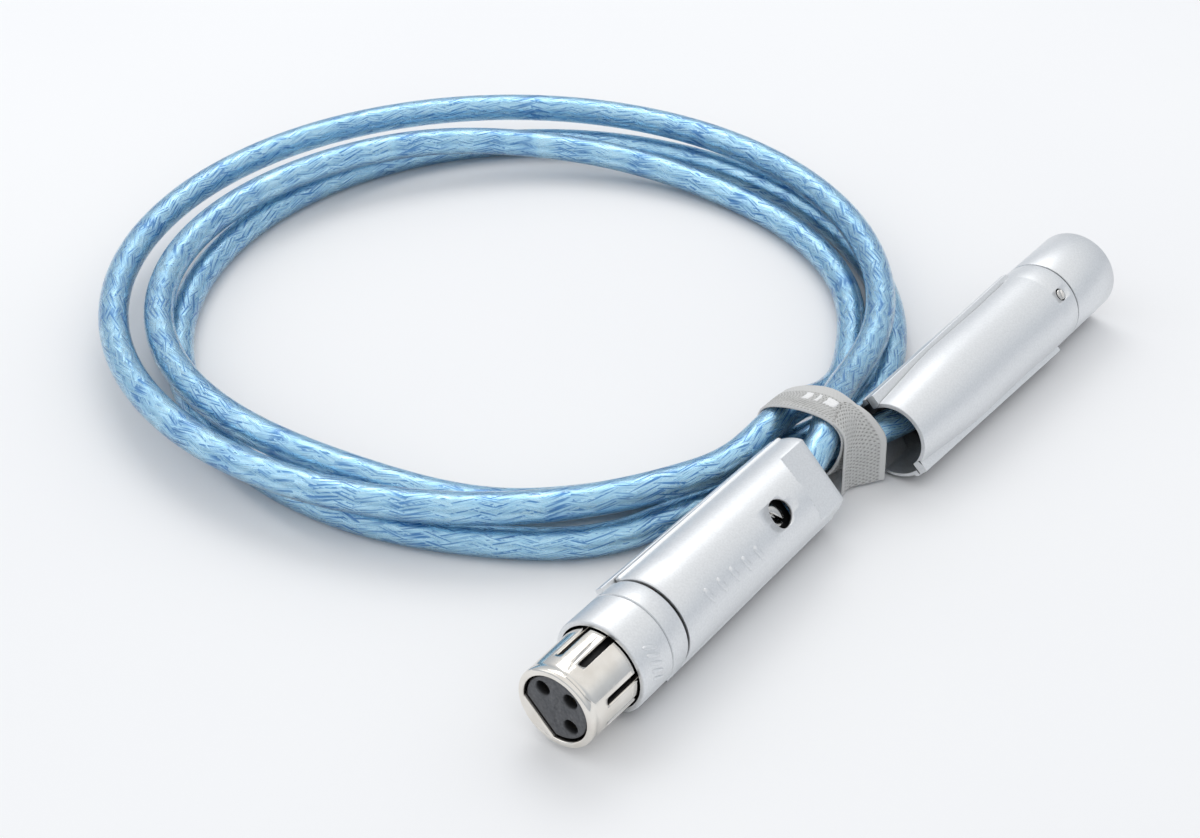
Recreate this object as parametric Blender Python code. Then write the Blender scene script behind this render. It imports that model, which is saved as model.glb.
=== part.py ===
"""Coiled balanced audio cable: three turns, a three-pole socket and a three-pole plug, and a cable tie strap.

Units are metres, +Z up, floor at z = 0. Each connector is built in its own frame: +Z leaves the mating
face, +Y is the side of the screwed rear cover, +X is across.
"""
import math

import bmesh
import bpy
import numpy as np
from mathutils import Matrix, Vector

MM = 0.001

# Placing: the mating face of the socket, its heading (clockwise from +Y), and its roll about its own axis.
CENTRE = (1.967, 12.227)
SOCKET_FACE = (-7.7, -96.3)
SOCKET_HEADING = 36.6
SOCKET_ROLL = 45.7
PLUG_REAR = (101.0, 7.0)
PLUG_HEADING = 37.8
PLUG_ROLL = 228.0
AXIS_HEIGHT = 9.5

# Connectors.
LENGTH = 79.5
SHELL_R = 9.5
COVER_R = 9.4
COVER_REAR_R = 9.0
BODY_R = 9.2
BODY_REAR_R = 7.7
WALL = 0.8
WING_HALF = 10.2
WING_REAR_HALF = 9.3
PARTING = -0.6
GAP = 0.3
COVER_FRONT = 27.0
FACET_CREST = 68.4
FACET_HEIGHT = 7.3
SOCKET_FACET_HEIGHT = 5.7
NOSE_R = 8.1
NOSE_BORE = 6.7
INSERT_R = 6.4
PITCH_R = 4.1
SCREW_AT = 60.5
BARREL_BORE = 8.7
BARREL_LENGTH = 16.9
PIN_R = 1.2

# Cable.
CABLE_R = 3.25
CABLE_IN = 27.5
TURN_POINTS = 18
STEP_TURN = 15.0
STEP_STRAP = 8.0

# Strap.
STRAP_FROM = 89.0
STRAP_TO = 99.0
STRAP_GAP = 0.2
STRAP_THICK = 0.6
TAIL_END = 0.7

# Where each length of cable lies beside the socket axis: along it, to its right, and above the floor.
SOCKET_TO_FIRST = ((52.0, 0.0, 9.5), (60.0, 0.0, 9.5), (67.0, 0.0, 9.6), (73.5, 0.0, 10.1),
                   (79.5, -0.2, 11.0), (85.0, -0.8, 12.3), (90.5, -2.2, 13.6), (96.0, -4.5, 13.8),
                   (102.5, -7.0, 12.8), (110.0, -9.1, 11.3), (119.0, -11.0, 10.4))
FIRST_TO_SECOND = ((70.0, -15.4, 10.3), (79.5, -13.5, 10.6), (87.0, -13.3, 11.3), (94.0, -13.6, 10.9),
                   (101.5, -14.1, 8.8), (110.0, -14.4, 5.6), (119.0, -15.4, 3.9))
SECOND_TO_THIRD = ((70.0, -22.6, 3.5), (79.5, -17.9, 3.8), (87.0, -14.2, 4.5), (94.0, -11.0, 4.5),
                   (101.5, -8.4, 4.4), (110.0, -6.9, 3.7), (119.0, -7.1, 3.35))
THIRD_TO_PLUG = ((60.0, -18.3, 3.35), (70.0, -14.2, 3.4), (79.5, -9.9, 3.8), (87.0, -5.7, 5.2),
                 (94.0, -1.4, 7.3), (101.0, 3.15, 9.45), (107.5, 5.8, 9.95), (114.0, 7.1, 9.7),
                 (121.0, 7.42, 9.5), (128.5, 7.58, 9.5))

# Turns: centre, half-widths, and the angles where each leaves and meets the strap.
FIRST_TURN = (-22.5, 39.5, 84.5, 82.5, -17.0, 298.0)
SECOND_TURN = (-20.3, 36.5, 76.6, 70.5, -14.0, 290.0)
THIRD_TURN = (-14.1, 36.0, 78.9, 80.5, -15.0, 284.0)
SECOND_HEIGHTS = ((-20.0, 3.4), (45.0, 3.4), (75.0, 6.2), (98.0, 9.0), (112.0, 10.15), (180.0, 10.15),
                  (240.0, 10.15), (252.0, 8.0), (268.0, 4.4), (285.0, 3.5), (340.0, 3.4))
FIRST_HEIGHT = 10.25
THIRD_HEIGHT = 3.3

COLOURS = {
    "cable": ((0.10, 0.33, 0.62), 0.2, 0.3),
    "strap": ((0.50, 0.50, 0.50), 0.9, 0.0),
    "satin": ((0.74, 0.75, 0.77), 0.35, 0.9),
    "nickel": ((0.80, 0.78, 0.74), 0.12, 1.0),
    "insert": ((0.07, 0.07, 0.075), 0.5, 0.0),
    "contact": ((0.83, 0.62, 0.28), 0.25, 1.0),
    "black": ((0.03, 0.03, 0.032), 0.55, 0.0),
    "steel": ((0.66, 0.66, 0.65), 0.25, 1.0),
    "red": ((0.55, 0.05, 0.04), 0.5, 0.0),
    "white": ((0.80, 0.80, 0.78), 0.5, 0.0),
    "copper": ((0.75, 0.55, 0.42), 0.35, 1.0),
}


def clear_scene():
    for obj in list(bpy.data.objects):
        bpy.data.objects.remove(obj, do_unlink=True)


def material(name, look):
    colour, rough, metal = COLOURS[look]
    made = bpy.data.materials.new(name + "_mat")
    made.use_nodes = True
    shader = made.node_tree.nodes["Principled BSDF"]
    shader.inputs["Base Color"].default_value = (*colour, 1.0)
    shader.inputs["Roughness"].default_value = rough
    shader.inputs["Metallic"].default_value = metal
    made.diffuse_color = (*colour, 1.0)
    return made


def finish(name, bm, look, place, pivot=(0.0, 0.0, 0.0), angle=35.0):
    """Makes the object: the mesh is in the connector's frame, in mm, and pivot becomes its origin."""
    bmesh.ops.remove_doubles(bm, verts=bm.verts, dist=1e-5)
    bmesh.ops.recalc_face_normals(bm, faces=bm.faces)
    bmesh.ops.triangulate(bm, faces=bm.faces)
    shift = Vector(pivot)
    for vert in bm.verts:
        vert.co = (vert.co - shift) * MM
    mesh = bpy.data.meshes.new(name)
    bm.to_mesh(mesh)
    bm.free()
    obj = bpy.data.objects.new(name, mesh)
    bpy.context.scene.collection.objects.link(obj)
    obj.matrix_world = place @ Matrix.Translation(shift * MM)
    if look:
        mesh.materials.append(material(name, look))
        for face in mesh.polygons:
            face.use_smooth = True
        mesh.set_sharp_from_angle(angle=math.radians(angle))
    else:
        obj.hide_render = True
        obj.display_type = "WIRE"
    return obj


def combine(obj, other, operation):
    mod = obj.modifiers.new(operation.title(), "BOOLEAN")
    mod.operation = operation
    mod.solver = "EXACT"
    mod.object = other


def lathe(bm, profile, steps, axis="z", at=(0.0, 0.0, 0.0), phase=0.0):
    """Turns (radius, along) points about an axis. Radii of zero at the two ends make poles."""
    rows = []
    for r, h in profile:
        if r < 1e-9:
            rows.append([bm.verts.new(turned(0.0, 0.0, h, axis, at))])
            continue
        row = []
        for k in range(steps):
            t = phase + 2 * math.pi * k / steps
            row.append(bm.verts.new(turned(r * math.cos(t), r * math.sin(t), h, axis, at)))
        rows.append(row)
    open_ended = len(rows[0]) == 1 and len(rows[-1]) == 1
    pairs = list(zip(rows, rows[1:]))
    if not open_ended:
        pairs.append((rows[-1], rows[0]))
    for low, high in pairs:
        for k in range(steps):
            n = (k + 1) % steps
            ring = [low[k % len(low)], low[n % len(low)], high[n % len(high)], high[k % len(high)]]
            corners = [v for i, v in enumerate(ring) if v not in ring[:i]]
            bm.faces.new(corners)


def turned(u, v, h, axis, at):
    if axis == "z":
        place = (u, v, h)
    elif axis == "y":
        place = (v, h, u)
    else:
        place = (h, u, v)
    return Vector(place) + Vector(at)


def lathed(name, profile, steps, look, place, axis="z", at=(0.0, 0.0, 0.0), pivot=(0.0, 0.0, 0.0)):
    bm = bmesh.new()
    lathe(bm, profile, steps, axis, at, 0.0 if look else 0.13)
    return finish(name, bm, look, place, pivot)


def loft(bm, rings, folded=False):
    """Joins closed rings of equal counts and caps the two ends. A folded ring runs out along the outside
    of a thin wall and back along its inside, so its cap is a row of quads across the wall."""
    rows = [[bm.verts.new(Vector(p)) for p in ring] for ring in rings]
    count = len(rows[0])
    for low, high in zip(rows, rows[1:]):
        for k in range(count):
            n = (k + 1) % count
            bm.faces.new((low[k], low[n], high[n], high[k]))
    if not folded:
        bm.faces.new(rows[0])
        bm.faces.new(list(reversed(rows[-1])))
        return
    for row in (rows[0], rows[-1]):
        for k in range(count // 2 - 1):
            bm.faces.new((row[k], row[k + 1], row[count - 2 - k], row[count - 1 - k]))


def box(bm, low, high):
    (x0, y0, z0), (x1, y1, z1) = low, high
    ring = ((x0, y0), (x1, y0), (x1, y1), (x0, y1))
    loft(bm, [[(x, y, z0) for x, y in ring], [(x, y, z1) for x, y in ring]])


def arc(radius, start, end, count, clip=None):
    """Points on an arc in the x-y plane, angles in degrees, held below clip."""
    points = []
    for k in range(count):
        t = math.radians(start + (end - start) * k / (count - 1))
        x, y = radius * math.cos(t), radius * math.sin(t)
        if clip is not None and y > clip:
            y = clip
        points.append((x, y))
    return points


def mix(a, b, t):
    return a + (b - a) * t


def cover_ring(z, radius, clip):
    """Cross-section of the rear cover: an arch with a thin lip along each long edge."""
    low = PARTING + GAP
    foot = math.degrees(math.asin(0.9 / radius))
    outer = arc(radius, foot, 180 - foot, 25, clip)
    inner_r = radius - WALL
    inner_clip = None if clip is None else clip - WALL
    inside = math.degrees(math.asin(low / inner_r))
    inner = arc(inner_r, 180 - inside, inside, 29, inner_clip)
    lip = radius + 0.45
    points = [(lip, low), (lip, 0.7)] + outer + [(-lip, 0.7), (-lip, low)] + inner
    return [(x, y, z) for x, y in points]


def cover(name, place, facet):
    """Screwed rear cover: arch, a step to the flat at its rear, and the round screw window."""
    rear = -LENGTH
    stations = []
    for z in (-COVER_FRONT, -COVER_FRONT - 0.4, -48.0, -FACET_CREST):
        t = (-z - COVER_FRONT) / (LENGTH - COVER_FRONT)
        stations.append((z, mix(COVER_R, COVER_REAR_R, t), 20.0))
    stations[0] = (stations[0][0], COVER_R - 0.3, 20.0)
    for z, clip in ((-FACET_CREST - 1.8, facet + 0.75), (rear + 0.35, facet), (rear, facet - 0.25)):
        t = (-z - COVER_FRONT) / (LENGTH - COVER_FRONT)
        stations.append((z, mix(COVER_R, COVER_REAR_R, t), clip))
    bm = bmesh.new()
    loft(bm, [cover_ring(z, r, clip) for z, r, clip in stations], folded=True)
    made = finish(name, bm, "satin", place)
    window = lathed(name + "_cut", [(0, 4.0), (2.9, 4.0), (2.9, 12.0), (0, 12.0)], 24, None, place,
                    axis="y", at=(0.0, 0.0, -SCREW_AT))
    combine(made, window, "DIFFERENCE")
    return made


def half_ring(z, radius, wing):
    """Cross-section of the half shell under the cover, with a flat wing along each edge."""
    top = PARTING
    low = PARTING - 1.1
    start = math.degrees(math.asin(-low / radius))
    outer = arc(radius, -start, -180 + start, 25)
    inner_r = radius - WALL
    inside = math.degrees(math.asin(-top / inner_r))
    inner = arc(inner_r, -180 + inside, -inside, 29)
    points = [(wing, top), (wing, low)] + outer + [(-wing, low), (-wing, top)] + inner
    return [(x, y, z) for x, y in points]


def body(name, front, place, bore):
    """The main shell: a full ring in front that becomes the winged half shell behind."""
    bm = bmesh.new()
    stations = []
    for z in (-23.6, -24.6, -60.0, -72.0, -LENGTH):
        t = (-z - 23.6) / (LENGTH - 23.6)
        radius = BODY_R if z > -61 else mix(BODY_R, BODY_REAR_R, (-z - 60.0) / (LENGTH - 60.0))
        stations.append(half_ring(z, radius, mix(WING_HALF, WING_REAR_HALF, t)))
    loft(bm, stations, folded=True)
    made = finish(name, bm, "satin", place)
    ring = bmesh.new()
    lathe(ring, collar_profile(front, bore), 40)
    collar = finish(name + "_ring", ring, None, place)
    combine(made, collar, "UNION")
    return made


def collar_profile(front, bore):
    """Closed profile of the ring at the front of a body, with the turned groove near its rear."""
    rear = -26.5
    outer = [(SHELL_R - 0.35, front), (SHELL_R, front - 0.35)]
    if front > -15:
        outer += [(SHELL_R, -21.2), (SHELL_R - 0.35, -21.3), (SHELL_R - 0.35, -21.9), (SHELL_R, -22.0)]
    return outer + [(SHELL_R, rear + 0.9), (SHELL_R - 0.7, rear), (bore, rear), (bore, front)]


def socket(place):
    body("socket_body", -12.9, place, 8.55)
    latch_window(place)
    cover("socket_cover", place, SOCKET_FACET_HEIGHT)
    nose(place)
    socket_insert(place)
    for k, (x, y) in enumerate(((-PITCH_R, 0.0), (PITCH_R, 0.0), (0.0, PITCH_R))):
        profile = [(0, -16.0), (0.82, -16.0), (0.82, -3.0), (1.1, -3.0), (1.1, -24.0), (1.3, -24.0),
                   (1.3, -27.0), (0, -27.0)]
        profile = [(r, z) for r, z in profile]
        lathed("socket_contact_%d" % (k + 1), profile, 12, "contact", place, at=(x, y, 0.0))
    latch(place)
    rear_fittings("socket", place, -27.3)


def latch_window(place):
    """Cuts the window for the release button through the ring."""
    bm = bmesh.new()
    box(bm, (-2.6, -12.0, -20.0), (2.6, -7.2, -14.8))
    cut = finish("socket_window_cut", bm, None, place)
    combine(bpy.data.objects["socket_body"], cut, "DIFFERENCE")


def nose(place):
    """Slotted spring sleeve: rounded rim, slightly flared, slots open to the rear."""
    outer = [(NOSE_BORE + 0.35, 0.0), (NOSE_R - 0.7, -0.05), (NOSE_R - 0.25, -0.4), (NOSE_R - 0.05, -1.1),
             (NOSE_R - 0.05, -1.6), (NOSE_R - 0.15, -1.7), (NOSE_R, -4.0), (NOSE_R + 0.1, -12.0),
             (NOSE_R + 0.1, -21.5), (NOSE_BORE, -21.5), (NOSE_BORE, -0.35)]
    bm = bmesh.new()
    lathe(bm, outer, 48)
    made = finish("socket_nose", bm, "nickel", place)
    bm = bmesh.new()
    for angle in (-63.5, -28.5, 28.5, 63.5):
        slot_cutter(bm, math.radians(angle), 0.8, -4.6, -20.0)
    cut = finish("socket_slots_cut", bm, None, place)
    combine(made, cut, "DIFFERENCE")
    bm = bmesh.new()
    box(bm, (-2.3, -12.0, -24.0), (2.3, -5.6, -3.2))
    key = finish("socket_key_cut", bm, None, place)
    combine(made, key, "DIFFERENCE")


def slot_cutter(bm, angle, half, front, rear):
    """A round-ended bar standing on the axis direction, turned about Z."""
    ring = [(-half, rear), (half, rear)]
    for k in range(9):
        t = math.pi * k / 8
        ring.append((half * math.cos(t), front - half + half * math.sin(t)))
    turn = Matrix.Rotation(-angle, 4, "Z")
    rows = []
    for height in (5.9, 10.5):
        rows.append([turn @ Vector((x, height, z)) for x, z in ring])
    loft(bm, rows)


def insert_outline(radius, flat):
    half = math.degrees(math.acos(flat / radius))
    return arc(radius, -90 + half, 270 - half, 33)


def socket_insert(place):
    """Moulded contact block with the flat for the key, and its three holes."""
    bm = bmesh.new()
    front = insert_outline(INSERT_R - 0.3, 4.6)
    ring = insert_outline(INSERT_R, 4.8)
    loft(bm, [[(x, y, -0.7) for x, y in front], [(x, y, -1.0) for x, y in ring], [(x, y, -22.5) for x, y in ring]])
    made = finish("socket_insert", bm, "insert", place)
    bm = bmesh.new()
    for x, y in ((-PITCH_R, 0.0), (PITCH_R, 0.0), (0.0, PITCH_R)):
        lathe(bm, [(0, -24.0), (1.45, -24.0), (1.45, -0.9), (1.7, -0.5), (1.7, 1.0), (0, 1.0)], 16, at=(x, y, 0.0))
    cut = finish("socket_holes_cut", bm, None, place)
    combine(made, cut, "DIFFERENCE")


def latch(place):
    """Release button in the ring with an arm to the hook that catches the plug."""
    bm = bmesh.new()
    box(bm, (-1.95, -10.4, -19.6), (1.95, -7.3, -15.2))
    made = finish("socket_latch", bm, "nickel", place, pivot=(0.0, -9.0, -17.4))
    bm = bmesh.new()
    box(bm, (-1.85, -8.1, -16.0), (1.85, -7.1, -4.6))
    arm = finish("socket_latch_arm", bm, None, place)
    combine(made, arm, "UNION")
    bm = bmesh.new()
    box(bm, (-1.75, -8.6, -6.4), (1.75, -7.4, -3.9))
    tip = finish("socket_latch_hook", bm, None, place)
    combine(made, tip, "UNION")


def rear_fittings(side, place, ends):
    """What both connectors hold behind their inserts: clamp, two screws and three conductors."""
    bm = bmesh.new()
    block = arc(7.2, -225, 45, 27) + arc(3.75, 45, -225, 27)
    loft(bm, [[(x, y, -56.0) for x, y in block], [(x, y, -66.0) for x, y in block]], folded=True)
    made = finish(side + "_clamp", bm, "black", place)
    bridge = bmesh.new()
    box(bridge, (-6.4, 3.75, -65.9), (6.4, 5.1, -56.1))
    top = finish(side + "_clamp_bridge", bridge, None, place)
    combine(made, top, "UNION")
    hole = lathed(side + "_clamp_cut", [(0, 3.0), (1.6, 3.0), (1.6, 6.5), (0, 6.5)], 16, None, place,
                  axis="y", at=(0.0, 0.0, -SCREW_AT))
    combine(made, hole, "DIFFERENCE")
    slotted_screw(side + "_clamp_screw", place, (0.0, 0.0, -SCREW_AT), 1.0, 2.3, (3.85, 5.4, 7.0), 1.25)
    slotted_screw(side + "_insert_screw", place, (0.0, 0.0, -23.6 if side == "socket" else -21.3), -1.0, 1.15,
                  (8.0, 8.9, 9.75), 0.65)
    screw_hole(side, place, -23.6 if side == "socket" else -21.3)
    colours = ("red", "white", "copper")
    targets = ((-PITCH_R, 0.0), (PITCH_R, 0.0), (0.0, PITCH_R))
    starts = ((-1.5, -0.9), (1.5, -0.9), (0.0, 1.7))
    for k, name in enumerate(("conductor_1", "conductor_2", "drain_wire")):
        conductor("%s_%s" % (side, name), colours[k], starts[k], targets[k], ends, place)


def slotted_screw(name, place, at, way, head_r, heights, shank_r):
    """Slotted cheese-head screw standing along Y; its origin is on its axis."""
    low, mid, top = (way * h for h in heights)
    profile = [(0, low), (shank_r, low), (shank_r, mid), (head_r, mid), (head_r, top - way * 0.2),
               (head_r - 0.2, top), (0, top)]
    made = lathed(name, profile, 20, "steel", place, axis="y", at=at, pivot=at)
    depth = 0.45 * abs(top - mid)
    width = 0.16 * head_r + 0.08
    bm = bmesh.new()
    ends = sorted((top - way * depth, top + way * 2.0))
    box(bm, (-head_r - 1, ends[0], at[2] - width), (head_r + 1, ends[1], at[2] + width))
    cut = finish(name + "_cut", bm, None, place)
    cut.matrix_world = place @ Matrix.Translation(Vector(at) * MM) @ Matrix.Rotation(math.radians(35), 4, "Y") @ (
        Matrix.Translation(-Vector(at) * MM))
    combine(made, cut, "DIFFERENCE")


def screw_hole(side, place, at_z):
    """Hole in the shell for the small screw that holds the insert in its shell."""
    profile = [(0, -7.3), (1.45, -7.3), (1.45, -11.0), (0, -11.0)]
    cut = lathed(side + "_screw_cut", profile, 16, None, place, axis="y", at=(0.0, 0.0, at_z))
    combine(bpy.data.objects[side + "_body"], cut, "DIFFERENCE")


def conductor(name, look, start, target, end, place):
    """A soldered lead from the stripped cable end to its contact."""
    points = [(start[0], start[1], -51.0), (start[0] * 1.1, start[1] * 1.1, -47.0)]
    for t in (0.25, 0.5, 0.75):
        ease = t * t * (3 - 2 * t)
        x, y = mix(start[0] * 1.1, target[0], ease), mix(start[1] * 1.1, target[1], ease)
        points.append((x, y, mix(-47.0, end - 3.0, t)))
    points += [(target[0], target[1], end - 3.0), (target[0], target[1], end)]
    curve = bpy.data.curves.new(name, "CURVE")
    curve.dimensions = "3D"
    curve.bevel_depth = (0.6 if look == "copper" else 0.75) * MM
    curve.bevel_resolution = 1
    curve.use_fill_caps = True
    line = curve.splines.new("POLY")
    line.points.add(len(points) - 1)
    for k, p in enumerate(points):
        line.points[k].co = (*(c * MM for c in p), 1.0)
    obj = bpy.data.objects.new(name, curve)
    bpy.context.scene.collection.objects.link(obj)
    obj.matrix_world = place
    curve.materials.append(material(name, look))


def plug(place):
    body("plug_body", -17.2, place, 8.75)
    cover("plug_cover", place, FACET_HEIGHT)
    barrel(place)
    profile = [(0, -14.6), (7.6, -14.6), (7.9, -14.9), (7.9, -22.5), (0, -22.5)]
    block = lathed("plug_insert", profile, 36, "insert", place)
    bm = bmesh.new()
    for x, y in ((-PITCH_R, 0.0), (PITCH_R, 0.0), (0.0, PITCH_R)):
        lathe(bm, [(0, -24.0), (PIN_R + 0.3, -24.0), (PIN_R + 0.3, -13.0), (0, -13.0)], 16, at=(x, y, 0.0))
    cut = finish("plug_holes_cut", bm, None, place)
    combine(block, cut, "DIFFERENCE")
    for k, (x, y) in enumerate(((-PITCH_R, 0.0), (PITCH_R, 0.0), (0.0, PITCH_R))):
        profile = [(0, -3.0), (PIN_R - 0.6, -3.0), (PIN_R, -3.8), (PIN_R, -27.0), (0, -27.0)]
        lathed("plug_pin_%d" % (k + 1), profile, 14, "contact", place, at=(x, y, 0.0))
    rear_fittings("plug", place, -27.3)


def barrel(place):
    """Plain front tube with a spigot that goes inside the body, and the keyway inside its mouth."""
    profile = [(BARREL_BORE + 0.2, 0.0), (SHELL_R - 0.3, 0.0), (SHELL_R, -0.3), (SHELL_R, -BARREL_LENGTH),
               (8.45, -BARREL_LENGTH), (8.45, -23.0), (8.2, -23.0), (8.2, -13.6), (BARREL_BORE, -13.6),
               (BARREL_BORE, -0.3)]
    bm = bmesh.new()
    lathe(bm, profile, 48)
    made = finish("plug_barrel", bm, "satin", place)
    bm = bmesh.new()
    box(bm, (-2.2, -9.1, -9.2), (2.2, -7.9, -5.4))
    groove = finish("plug_catch_cut", bm, None, place)
    combine(made, groove, "DIFFERENCE")
    hole = lathed("plug_spigot_cut", [(0, -7.0), (0.95, -7.0), (0.95, -8.6), (0, -8.6)], 12, None, place,
                  axis="y", at=(0.0, 0.0, -21.3))
    combine(made, hole, "DIFFERENCE")


def heading(degrees):
    t = math.radians(degrees)
    return np.array([math.sin(t), math.cos(t), 0.0])


def beside_socket(along, right, up):
    """A point given along the socket axis from its mating face, to the right of it, and above the floor."""
    a = heading(SOCKET_HEADING)
    across = np.array([a[1], -a[0], 0.0])
    origin = np.array([SOCKET_FACE[0] - CENTRE[0], SOCKET_FACE[1] - CENTRE[1], 0.0])
    return origin + along * a + right * across + np.array([0.0, 0.0, up])


def placing(origin, front, roll):
    """Matrix of a connector frame: front is where the mating face looks, roll turns its cover side."""
    a = heading(SOCKET_HEADING if front < 0 else PLUG_HEADING)
    right = np.array([a[1], -a[0], 0.0])
    up = np.array([0.0, 0.0, 1.0])
    t = math.radians(roll)
    y = math.cos(t) * right + math.sin(t) * up
    z = front * a
    x = np.cross(y, z)
    rows = np.column_stack([x, y, z])
    made = Matrix([list(map(float, row)) for row in rows]).to_4x4()
    made.translation = Vector([float(c) * MM for c in origin])
    return made


def turn_points(turn, height):
    """Points round one turn of the coil, counter-clockwise."""
    cx, cy, rx, ry, first, last = turn
    count = int(round((last - first) / 360.0 * TURN_POINTS)) + 1
    points = []
    for k in range(count):
        t = first + (last - first) * k / (count - 1)
        z = np.interp(t, [h[0] for h in height], [h[1] for h in height])
        points.append(np.array([cx - CENTRE[0] + rx * math.cos(math.radians(t)),
                                cy - CENTRE[1] + ry * math.sin(math.radians(t)), z]))
    return points


def cable_guide():
    """All guide points of the cable in order, from inside the socket to inside the plug."""
    flat = ((-40.0, FIRST_HEIGHT), (360.0, FIRST_HEIGHT))
    floor = ((-40.0, THIRD_HEIGHT), (360.0, THIRD_HEIGHT))
    guide = [beside_socket(*p) for p in SOCKET_TO_FIRST]
    guide += turn_points(FIRST_TURN, flat)
    guide += [beside_socket(*p) for p in FIRST_TO_SECOND]
    guide += turn_points(SECOND_TURN, SECOND_HEIGHTS)
    guide += [beside_socket(*p) for p in SECOND_TO_THIRD]
    guide += turn_points(THIRD_TURN, floor)
    guide += [beside_socket(*p) for p in THIRD_TO_PLUG]
    return np.array(guide)


def smooth_line(guide, fine):
    """A natural cubic spline through the guide points, sampled evenly and finely."""
    steps = np.linalg.norm(np.diff(guide, axis=0), axis=1)
    at = np.concatenate([[0.0], np.cumsum(steps)])
    count = len(guide)
    matrix = np.zeros((count, count))
    right = np.zeros((count, 3))
    matrix[0, 0] = matrix[-1, -1] = 1.0
    for i in range(1, count - 1):
        a, b = steps[i - 1], steps[i]
        matrix[i, i - 1:i + 2] = (a, 2 * (a + b), b)
        right[i] = 6 * ((guide[i + 1] - guide[i]) / b - (guide[i] - guide[i - 1]) / a)
    bend = np.linalg.solve(matrix, right)
    wanted = np.linspace(0.0, at[-1], int(at[-1] / fine) + 1)
    index = np.clip(np.searchsorted(at, wanted, side="right") - 1, 0, count - 2)
    h = steps[index][:, None]
    u = (wanted - at[index])[:, None]
    v = h - u
    low, high = guide[index], guide[index + 1]
    first, second = bend[index], bend[index + 1]
    line = first * v ** 3 / (6 * h) + second * u ** 3 / (6 * h)
    line = line + (low / h - first * h / 6) * v + (high / h - second * h / 6) * u
    line[:, 2] = np.maximum(line[:, 2], CABLE_R)
    return line


def thinned(line, near):
    """Every few points of a fine line: close together by the strap, further apart on the turns."""
    kept = [line[0]]
    travelled = 0.0
    for before, point in zip(line, line[1:]):
        travelled += np.linalg.norm(point - before)
        by_strap = np.linalg.norm(point[:2] - near[:2]) < 38.0
        if travelled >= (STEP_STRAP if by_strap else STEP_TURN):
            kept.append(point)
            travelled = 0.0
    kept[-1] = line[-1]
    return np.array(kept)


def cable():
    line = smooth_line(cable_guide(), 1.0)
    points = thinned(line, beside_socket(94.0, -6.0, 0.0))
    curve = bpy.data.curves.new("cable", "CURVE")
    curve.dimensions = "3D"
    curve.bevel_depth = CABLE_R * MM
    curve.bevel_resolution = 2
    curve.use_fill_caps = True
    spline = curve.splines.new("POLY")
    spline.points.add(len(points) - 1)
    for k, p in enumerate(points):
        spline.points[k].co = (*(float(c) * MM for c in p), 1.0)
    obj = bpy.data.objects.new("cable", curve)
    bpy.context.scene.collection.objects.link(obj)
    curve.materials.append(material("cable", "cable"))
    return line


def strands_at(line, along):
    """Where the cable crosses the plane at this distance along the socket axis, near the strap, and its
    sideways and upward slope there."""
    a = heading(SOCKET_HEADING)
    origin = beside_socket(0.0, 0.0, 0.0)
    across = np.array([a[1], -a[0], 0.0])
    s = (line - origin) @ a
    found = []
    for i in range(len(line) - 1):
        if s[i] <= along < s[i + 1]:
            step = line[i + 1] - line[i]
            p = line[i] + step * (along - s[i]) / (s[i + 1] - s[i]) - origin
            found.append((p @ across, p[2], step @ across / (step @ a), step[2] / (step @ a)))
    return [c for c in found if abs(c[0] + 6.0) < 16.0]


def strap_outline(line, along, offset, count=40):
    """The taut outline round the strands, pushed out by offset. A slanting strand is an ellipse here."""
    strands = strands_at(line, along)
    points = []
    for k in range(count):
        t = 2 * math.pi * k / count
        u = np.array([math.cos(t), math.sin(t)])
        reach = []
        for x, z, slope, rise in strands:
            lean = slope * u[0] + rise * u[1]
            push = offset * (u + lean * np.array([slope, rise])) / math.sqrt(1 + lean * lean)
            reach.append(np.array([x, z]) + push)
        best = max(reach, key=lambda c: float(c @ u))
        points.append((float(best[0]), float(best[1])))
    return points


def strap(line):
    """The closed loop of the strap, and its free end lying down the right-hand side."""
    bm = bmesh.new()
    inner_offset = CABLE_R + STRAP_GAP
    outer_offset = inner_offset + STRAP_THICK
    rings = []
    stations = (STRAP_FROM, STRAP_FROM + 3.3, STRAP_TO - 3.3, STRAP_TO)
    for along in stations:
        outer = [beside_socket(along, *p) for p in strap_outline(line, along, outer_offset)]
        inner = [beside_socket(along, *p) for p in strap_outline(line, along, inner_offset)]
        rings.append((outer, inner))
    rows = [[bm.verts.new(Vector(map(float, p))) for p in ring] for pair in rings for ring in pair]
    outers, inners = rows[0::2], rows[1::2]
    count = len(outers[0])
    for k in range(count):
        n = (k + 1) % count
        for low, high in zip(outers, outers[1:]):
            bm.faces.new((low[k], low[n], high[n], high[k]))
        for low, high in zip(inners, inners[1:]):
            bm.faces.new((low[n], low[k], high[k], high[n]))
        bm.faces.new((outers[0][n], outers[0][k], inners[0][k], inners[0][n]))
        bm.faces.new((outers[-1][k], outers[-1][n], inners[-1][n], inners[-1][k]))
    finish("strap_band", bm, "strap", Matrix.Identity(4))
    strap_tail(line)


def strap_tail(line):
    """The free end of the strap: it lies on the loop round its upper right and hangs straight to the floor."""
    near = CABLE_R + 2 * STRAP_GAP + STRAP_THICK
    rings = []
    for along in (STRAP_FROM, STRAP_FROM + 3.3, STRAP_TO - 3.3, STRAP_TO):
        sides = []
        for offset in (near, near + STRAP_THICK):
            side = strap_outline(line, along, offset)[0:8]
            side.insert(0, (side[0][0] + 0.3, TAIL_END))
            sides.append(side)
        ring = sides[0] + list(reversed(sides[1]))
        rings.append([beside_socket(along, *p) for p in ring])
    bm = bmesh.new()
    loft(bm, rings, folded=True)
    root = len(rings[0]) // 2 - 1
    pivot = (rings[0][root] + rings[-1][root]) / 2
    finish("strap_tail", bm, "strap", Matrix.Identity(4), pivot=tuple(map(float, pivot)))


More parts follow.
